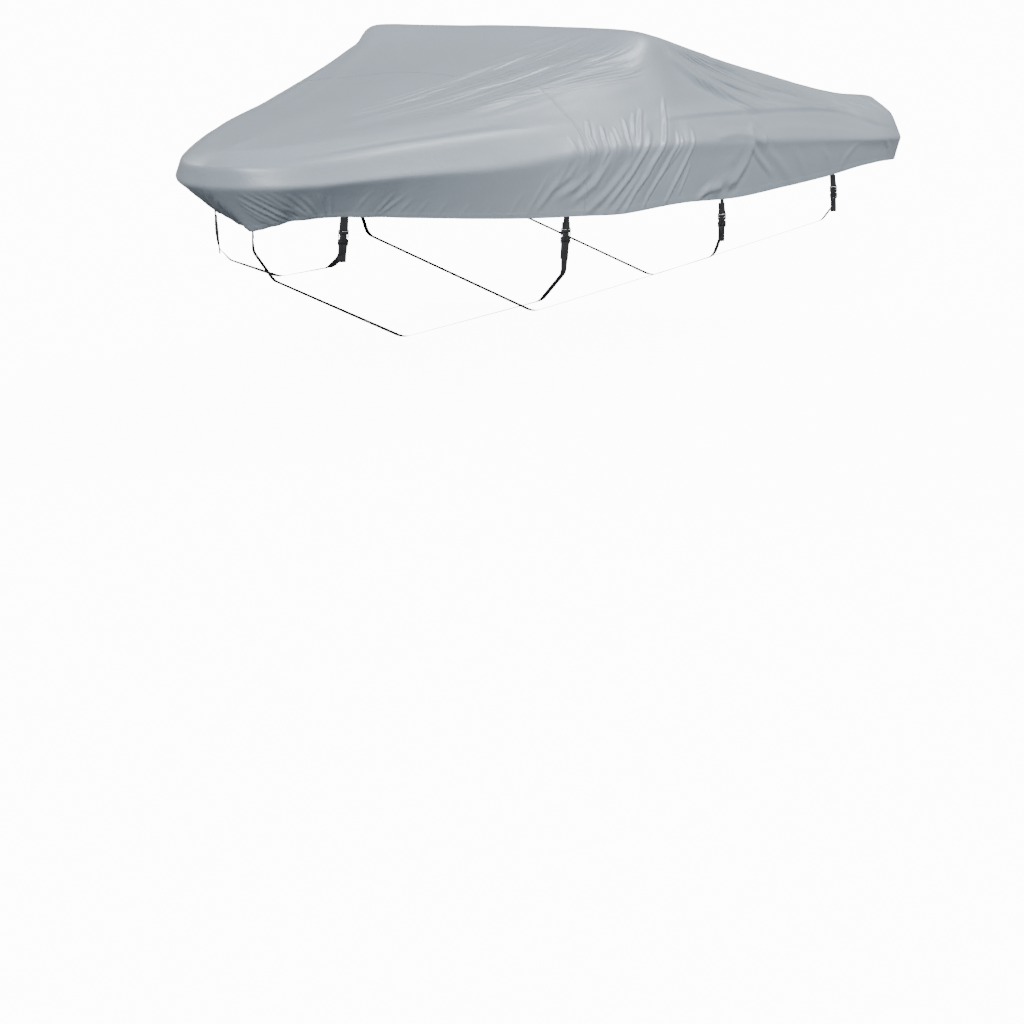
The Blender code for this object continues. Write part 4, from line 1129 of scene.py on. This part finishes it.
# ------------------------------------------------------------------ shader arithmetic
class Term:
    """A socket of a node tree.  Arithmetic on it adds Math nodes to the tree."""

    def __init__(self, tree, socket):
        self.tree, self.socket = tree, socket

    def math(self, operation, *values):
        """The result of a Math node on these values."""
        node = self.tree.node("ShaderNodeMath", {"operation": operation},
                              dict(enumerate(values)))
        return Term(self.tree, node.outputs[0])

    def __add__(self, other):
        return self.math("ADD", self, other)

    def __sub__(self, other):
        return self.math("SUBTRACT", self, other)

    def __rsub__(self, other):
        return self.math("SUBTRACT", other, self)

    def __mul__(self, other):
        return self.math("MULTIPLY", self, other)

    __radd__, __rmul__ = __add__, __mul__

    def wave(self, length):
        """Sine of the value, with this wave length."""
        return self.math("SINE", self * (2 * np.pi / length))

    def size(self):
        """The value without its sign."""
        return self.math("ABSOLUTE", self)

    def least(self, other):
        """The smaller of two."""
        return self.math("MINIMUM", self, other)

    def most(self, other):
        """The greater of two."""
        return self.math("MAXIMUM", self, other)

    def below(self, edge, blur):
        """1 under an edge and 0 over it, smooth across the blur."""
        node = self.tree.node("ShaderNodeMapRange", {"interpolation_type": "SMOOTHSTEP"},
                              {"Value": self, "From Min": edge - blur, "From Max": edge + blur,
                               "To Min": 1.0, "To Max": 0.0})
        return Term(self.tree, node.outputs[0])


class Tree:
    """The nodes and links of a material or a world, under construction."""

    def __init__(self, owner):
        owner.use_nodes = True
        self.nodes, self.links = owner.node_tree.nodes, owner.node_tree.links

    def node(self, kind, settings=None, inputs=None):
        """A node of a type, its settings set first and then its sockets, by name or number."""
        made = self.nodes.new(kind)
        for key, value in (settings or {}).items():
            setattr(made, key, value)
        for key, value in (inputs or {}).items():
            self.feed(made.inputs[key], value)
        return made

    def feed(self, socket, value):
        """Links a term to a socket, or sets the socket's own value."""
        if isinstance(value, Term):
            self.links.new(value.socket, socket)
        else:
            socket.default_value = value


class Finish(Tree):
    """A material under construction: its Principled shader and the nodes that feed it."""

    def __init__(self, name):
        self.material = bpy.data.materials.new(name)
        super().__init__(self.material)
        self.shader = self.nodes["Principled BSDF"]

    def set(self, **values):
        """Sets or links the shader's sockets; an underscore stands for a space."""
        for key, value in values.items():
            self.feed(self.shader.inputs[key.replace("_", " ")], value)

    def place(self):
        """The two parts of the piece's own lay: along and across."""
        split = self.node("ShaderNodeSeparateXYZ", None, {
            0: Term(self, self.node("ShaderNodeUVMap", {"uv_map": "lay"}).outputs[0])})
        return Term(self, split.outputs[0]), Term(self, split.outputs[1])

    def noise(self, scale, detail=3.0, roughness=0.5, at=None):
        """Noise from 0 to 1 over the piece's own place, so many lumps to the metre, or over
        another."""
        at = at or Term(self, self.node("ShaderNodeTexCoord").outputs["Object"])
        node = self.node("ShaderNodeTexNoise", None, {
            "Vector": at, "Scale": scale, "Detail": detail, "Roughness": roughness})
        return Term(self, node.outputs["Fac"])

    def creased(self, along, across):
        """Narrow ridges that run long along one way, from 0 to 1: one over the distance of a
        stretched noise from its middle value."""
        at = self.node("ShaderNodeCombineXYZ", None, {0: along, 1: across})
        away = (self.noise(1.0, 1.0, 0.5, Term(self, at.outputs[0])) - 0.5).size()
        return (1.0 - away * 7.0).most(0.0)

    def mixed(self, share, one, other):
        """A colour between two, by a share from 0 to 1."""
        node = self.node("ShaderNodeMix", {"data_type": "RGBA"}, {0: share, 6: one, 7: other})
        return Term(self, node.outputs[2])

    def bumped(self, height, distance, strength=1.0):
        """A normal from a height, in metres for a height of 1."""
        node = self.node("ShaderNodeBump", None, {"Height": height, "Distance": distance,
                                                  "Strength": strength})
        return Term(self, node.outputs[0])


def shade(colour, share):
    """A colour with its three parts multiplied."""
    return (*(min(part * share, 1.0) for part in colour[:3]), 1.0)


def cloth_finish(settings):
    """Coated woven polyester: plain weave, slight mottling, a faint crinkle, lock stitches
    along the hem and the seam, and the finest creases of the two fans that start at the port
    corner of the windscreen."""
    finish = Finish("woven polyester")
    run, girth = finish.place()
    # on the foredeck the creases keep girth + 0.115 run, 24 to the metre
    sweep = girth + run * 0.115
    fore = finish.creased(run * 1.3, sweep * 24.0)
    fore = fore * (1.25 - run).below(0.0, 0.35) * (run - 2.62).below(0.0, 0.12) * (
        sweep - 1.19).size().below(0.25, 0.05)
    # aft of the corner they keep their angle about it, 19 to the radian
    ahead, under = run - 2.72, 0.86 - girth
    slant = under.math("ARCTAN2", under, ahead)
    slope = finish.creased(ahead * 1.2, slant * 19.0)
    slope = slope * (3.16 - run).below(0.0, 0.12) * (run - 4.75).below(0.0, 0.30) * (
        slant - 0.34).size().below(0.24, 0.05) * (0.40 - girth).below(0.0, 0.02)
    creases = fore * 0.0040 + slope * 0.0075
    side = girth.least(FULL_GIRTH - girth)
    pitch = settings.weave_pitch
    weave = run.wave(pitch) * girth.wave(pitch)
    crinkle = finish.noise(42.0, 4.0, 0.55)
    mottle = finish.noise(2.4, 3.0, 0.6)
    grain = finish.noise(900.0, 2.0, 0.6)
    hem_line = (side - settings.hem_width * 0.84).size().below(0.0007, 0.0004)
    hem_dash = (run.wave(0.0042) * 0.5 + 0.5).below(0.62, 0.08)
    seam_lines = ((run - SEAM_RUN + 0.0050).size().least((run - SEAM_RUN - 0.0050).size())
                  ).below(0.0007, 0.0004)
    seam_dash = (girth.wave(0.0038) * 0.5 + 0.5).below(0.62, 0.08)
    stitch = hem_line * hem_dash + seam_lines * seam_dash
    colour = tuple(settings.colour)
    cloth = finish.mixed(mottle, shade(colour, 0.965), shade(colour, 1.035))
    cloth = finish.mixed(grain * 0.5, cloth, shade(colour, 0.93))
    thread = finish.mixed(stitch * 0.5, cloth, shade(colour, 0.88))
    normal = finish.bumped(weave * 0.00003 + crinkle * 0.0011 + stitch * 0.0004 + creases,
                           1.0, 0.9)
    finish.set(Base_Color=thread, Roughness=0.42 + (mottle - 0.5) * 0.08 + stitch * 0.1,
               Normal=normal, Sheen_Weight=0.06, Sheen_Roughness=0.5, Specular_IOR_Level=0.8)
    return finish.material


def webbing_finish(settings):
    """Black polypropylene webbing: ribs along it, a herringbone over them, and worn fibres
    that are a little paler on the ribs."""
    finish = Finish("woven webbing")
    along, across = finish.place()
    ribs = across.wave(0.0032)
    slant = (along + across.size() * 0.7).wave(0.0024)
    fuzz = finish.noise(1400.0, 2.0, 0.6)
    edge = (across.size() - 0.0165).below(0.0, 0.0012)
    height = (ribs * 0.5 + slant * 0.35) * edge * 0.00022 + fuzz * 0.00008
    colour = tuple(settings.webbing_colour)
    worn = finish.mixed(fuzz * (ribs * 0.25 + 0.5), shade(colour, 0.75), shade(colour, 1.9))
    finish.set(Base_Color=worn, Roughness=0.66 + fuzz * 0.16,
               Normal=finish.bumped(height, 1.0), Specular_IOR_Level=0.4)
    return finish.material


def buckle_finish(settings):
    """Moulded black acetal: a fine grain from the mould and slightly duller patches."""
    finish = Finish("moulded acetal")
    grain = finish.noise(2600.0, 2.0, 0.5)
    rubbed = finish.noise(160.0, 3.0, 0.6)
    colour = tuple(settings.buckle_colour)
    tone = finish.mixed(rubbed, shade(colour, 0.85), shade(colour, 1.5))
    finish.set(Base_Color=tone, Roughness=0.40 + rubbed * 0.16,
               Normal=finish.bumped(grain * 0.00004, 1.0))
    return finish.material


def stage_finish(settings, name, glow):
    """Plain pale floor or backdrop."""
    finish = Finish(name)
    tone = finish.noise(0.6, 2.0, 0.5)
    colour = tuple(settings.floor_colour)
    finish.set(Base_Color=finish.mixed(tone, shade(colour, 0.995), shade(colour, 1.005)),
               Roughness=0.9, Emission_Color=colour, Emission_Strength=glow)
    return finish.material


# ------------------------------------------------------------------ the studio's places
FLOOR_RIMS = (6.0, 30.0, 400.0)
DOME_RADIUS = 380.0
CAMERA_PLACE = (-10.505, -5.863, 0.2895)
CAMERA_TURN = 61.10           # from +Y towards +X
CAMERA_PITCH = 12.96
KEY_FROM = (0.43, -0.48, 0.766)
BOW_LIGHT_FROM = (-0.855, -0.385, 0.34)
FAR_LIGHT_FROM = (0.10, 0.88, 0.46)
CAMERA_SENSOR = 36.0          # millimetres
LIGHT_AWAY = 8.0


# ------------------------------------------------------------------ what a user may change
def colour_property(name, description, default):
    """A colour that the panel shows."""
    return bpy.props.FloatVectorProperty(name=name, description=description, default=default,
                                         size=4, min=0.0, max=1.0, subtype="COLOR")


def length_property(name, description, default):
    """A length that the panel shows."""
    return bpy.props.FloatProperty(name=name, description=description, default=default,
                                   min=0.0, precision=5, unit="LENGTH", subtype="DISTANCE")


def level_property(name, description, default):
    """A strength or an angle that the panel shows."""
    return bpy.props.FloatProperty(name=name, description=description, default=default, min=0.0)


class CoverSettings(bpy.types.PropertyGroup):
    """Sizes and colours of the cover."""
    colour: colour_property("Cloth colour", "Colour of the woven polyester",
                            (0.352, 0.408, 0.462, 1.0))
    weave_pitch: length_property("Weave pitch", "Distance of two threads of the cloth", 0.0009)
    hem_width: length_property("Hem width", "Width of the doubled cloth at the hem", HEM_WIDTH)
    webbing_colour: colour_property("Webbing colour", "Colour of tabs and belly straps",
                                    (0.018, 0.018, 0.020, 1.0))
    webbing_thickness: length_property("Webbing thickness", "Thickness of all webbing", 0.0017)
    buckle_colour: colour_property("Buckle colour", "Colour of plugs and sockets",
                                   (0.014, 0.014, 0.016, 1.0))


class StudioSettings(bpy.types.PropertyGroup):
    """Floor, light and lens."""
    floor_colour: colour_property("Floor colour", "Colour of the plain floor",
                                  (0.86, 0.86, 0.86, 1.0))
    floor_height: length_property("Floor depth", "Floor below the windscreen crest", 1.766)
    floor_glow: level_property("Floor glow", "Light that floor and backdrop give off", 14.0)
    key_power: level_property("Key light", "Strength of the light above the port side", 2.9)
    bow_power: level_property("Bow light", "Strength of the light ahead of the bow", 3.9)
    far_power: level_property("Far light", "Strength of the light on the far side", 1.1)
    key_softness: level_property("Softness", "Width of the lights, in degrees", 22.0)
    sky: level_property("Fill", "Strength of the light all round", 0.20)
    lens: bpy.props.FloatProperty(name="Lens", description="Focal length of the camera",
                                  default=83.36, min=10.0, unit="CAMERA")


# ------------------------------------------------------------------ operators
class BOATCOVER_OT_cloth(bpy.types.Operator):
    """Builds the bow panel and the aft panel of the cloth"""
    bl_idname = "boat_cover.cloth"
    bl_label = "Cloth"

    def execute(self, context):
        finish = cloth_finish(context.scene.boat_cover)
        girths = spread(GIRTH_STEPS)
        # the inner face takes every fourth girth, the last one too
        extra = -(len(girths) - 1) % INNER_SKIP
        added = np.linspace(1.35, 1.41, extra + 2)[1:-1] + 0.002
        girths = np.sort(np.concatenate([girths, added]))
        bow_runs, aft_runs = spread(BOW_STEPS), spread(AFT_STEPS + ((LAST_RUN, 0.048),))
        for name, runs, raised, first, node, flat, area in (
                ("bow_panel_cloth", bow_runs, hem_raise, True, "cover_bow_panel", (2.75, 2.03),
                 3.37),
                ("aft_panel_cloth", aft_runs, aft_raise, False, "cover_aft_panel", (3.32, 4.24),
                 12.06)):
            piece = sheet_of_cloth(name, runs, girths, raised, finish, first)
            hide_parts(node)
        return {"FINISHED"}


class BOATCOVER_OT_tabs(bpy.types.Operator):
    """Builds the eight tabs that are sewn behind the hem"""
    bl_idname = "boat_cover.tabs"
    bl_label = "Tabs"

    def execute(self, context):
        settings = context.scene.boat_cover
        finish = webbing_finish(settings)
        for strap, sides in strap_sides():
            for side in sides:
                put_tab(strap, side, finish, settings.webbing_thickness)
        return {"FINISHED"}


class BOATCOVER_OT_buckles(bpy.types.Operator):
    """Builds the plug and the socket of the eight side-release buckles"""
    bl_idname = "boat_cover.buckles"
    bl_label = "Buckles"

    def execute(self, context):
        finish = buckle_finish(context.scene.boat_cover)
        for _, sides in strap_sides():
            for side in sides:
                for kind, shells, start in (("plug", plug_shells(), side.top),
                                            ("socket", socket_shells(), side.mouth)):
                    piece = put_shells(f"{kind}_{side.label}", in_world(shells, start, side),
                                       finish)
                    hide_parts(f"buckle_{kind}_{side.label}")
        return {"FINISHED"}


class BOATCOVER_OT_belly_straps(bpy.types.Operator):
    """Builds the four straps that pass under the hull"""
    bl_idname = "boat_cover.belly_straps"
    bl_label = "Belly straps"

    def execute(self, context):
        settings = context.scene.boat_cover
        finish = webbing_finish(settings)
        for strap, sides in strap_sides():
            put_belly_strap(strap, sides, finish, settings.webbing_thickness)
        return {"FINISHED"}


class BOATCOVER_OT_studio(bpy.types.Operator):
    """Sets the floor, the light and the camera"""
    bl_idname = "boat_cover.studio"
    bl_label = "Studio"

    def execute(self, context):
        settings = context.scene.boat_studio
        self.floor(settings)
        self.backdrop(settings)
        self.light(context, settings)
        self.camera(context, settings)
        return {"FINISHED"}

    def floor(self, settings):
        """A round plane, far larger than any view of the cover."""
        self.put_stage("floor", np.array(FLOOR_RIMS),
                       np.full(len(FLOOR_RIMS), -settings.floor_height),
                       stage_finish(settings, "pale floor", settings.floor_glow))

    def backdrop(self, settings):
        """A dome that meets the floor's rim and is as bright as the lit floor: points on a
        sphere from below the floor up to its top, facing inwards."""
        rise = np.linspace(-0.02, np.pi / 2 - 0.01, 25)
        self.put_stage("backdrop", DOME_RADIUS * np.cos(rise), DOME_RADIUS * np.sin(rise),
                       stage_finish(settings, "pale backdrop", settings.floor_glow + 0.9))

    def put_stage(self, name, radii, heights, material):
        """An object of the stage, which the cover's own light doesn't come from: level
        rings, joined one to the next, and a face that fills the smallest."""
        turn = np.arange(96) * 2 * np.pi / 96
        ring = np.stack([np.cos(turn), np.sin(turn)], -1)
        flat = (ring * radii[:, None, None]).reshape(-1, 2)
        points = np.column_stack([flat, np.repeat(heights, len(turn))])
        index = np.arange(len(points)).reshape(-1, len(turn))
        middle = index[np.argmin(radii)]
        mesh = bpy.data.meshes.new(name)
        mesh.from_pydata(points.tolist(), [],
                         ring_quads(index)[:, ::-1].tolist() + [middle.tolist()])
        mesh.materials.append(material)
        stage = bpy.data.objects.new(name, mesh)
        stage.visible_diffuse = stage.visible_glossy = False
        stage.visible_shadow = name == "floor"
        bpy.context.scene.collection.objects.link(stage)

    def light(self, context, settings):
        """A large light above the port side, one low ahead of the bow, a weaker one for the
        far side, and a soft light all round, brighter above."""
        for name, power, came_from in (("key", settings.key_power, KEY_FROM),
                                       ("bow light", settings.bow_power, BOW_LIGHT_FROM),
                                       ("far light", settings.far_power, FAR_LIGHT_FROM)):
            lamp = bpy.data.lights.new(name, "SUN")
            lamp.energy, lamp.angle = power, np.radians(settings.key_softness)
            light = bpy.data.objects.new(name, lamp)
            stand = Vector(came_from) * LIGHT_AWAY
            light.matrix_world = Matrix.LocRotScale(stand, (-stand).to_track_quat("-Z", "Y"),
                                                    None)
            context.scene.collection.objects.link(light)
        world = bpy.data.worlds.new("studio")
        context.scene.world = world
        tree = Tree(world)
        place = Term(tree, tree.node("ShaderNodeTexCoord").outputs["Generated"])
        up = Term(tree, tree.node("ShaderNodeSeparateXYZ", None, {0: place}).outputs["Z"])
        level = tree.node("ShaderNodeMapRange", None, {
            "Value": up, "From Min": -0.6, "From Max": 0.8, "To Min": 0.55, "To Max": 1.0})
        tint = tree.node("ShaderNodeVectorMath", {"operation": "SCALE"}, {
            0: (0.86, 0.95, 1.08), "Scale": Term(tree, level.outputs[0])})
        sky = tree.nodes["Background"]
        tree.feed(sky.inputs["Color"], Term(tree, tint.outputs[0]))
        tree.feed(sky.inputs["Strength"], settings.sky)

    def camera(self, context, settings):
        """The photograph's place, looking down at its own middle without a lens shift."""
        data = bpy.data.cameras.new("camera")
        data.lens, data.sensor_width = settings.lens, CAMERA_SENSOR
        data.clip_start, data.clip_end = 0.1, 1000.0
        data.dof.use_dof = False
        camera = bpy.data.objects.new("camera", data)
        turn, pitch = np.radians((CAMERA_TURN, CAMERA_PITCH))
        look = Vector((np.sin(turn) * np.cos(pitch), np.cos(turn) * np.cos(pitch),
                       -np.sin(pitch)))
        camera.matrix_world = Matrix.LocRotScale(Vector(CAMERA_PLACE),
                                                 look.to_track_quat("-Z", "Y"), None)
        context.scene.collection.objects.link(camera)
        context.scene.camera = camera


class BOATCOVER_PT_build(bpy.types.Panel):
    """Lists the pieces of the cover and what may be changed"""
    bl_label = "Boat cover"
    bl_idname = "BOATCOVER_PT_build"
    bl_space_type = "VIEW_3D"
    bl_region_type = "UI"
    bl_category = "Boat cover"

    def draw(self, context):
        for operator in OPERATORS:
            self.layout.operator(operator.bl_idname)
        for settings in (context.scene.boat_cover, context.scene.boat_studio):
            for name in settings.__annotations__:
                self.layout.prop(settings, name)


OPERATORS = (BOATCOVER_OT_cloth, BOATCOVER_OT_tabs, BOATCOVER_OT_buckles,
             BOATCOVER_OT_belly_straps, BOATCOVER_OT_studio)
CLASSES = (CoverSettings, StudioSettings) + OPERATORS + (BOATCOVER_PT_build,)


def register():
    for each in CLASSES:
        bpy.utils.register_class(each)
    bpy.types.Scene.boat_cover = bpy.props.PointerProperty(type=CoverSettings)
    bpy.types.Scene.boat_studio = bpy.props.PointerProperty(type=StudioSettings)


def unregister():
    del bpy.types.Scene.boat_studio
    del bpy.types.Scene.boat_cover
    for each in reversed(CLASSES):
        bpy.utils.unregister_class(each)


def main():
    register()
    bpy.ops.boat_cover.studio()
    bpy.ops.boat_cover.cloth()
    bpy.ops.boat_cover.tabs()
    bpy.ops.boat_cover.buckles()
    bpy.ops.boat_cover.belly_straps()


if __name__ == "__main__":
    main()
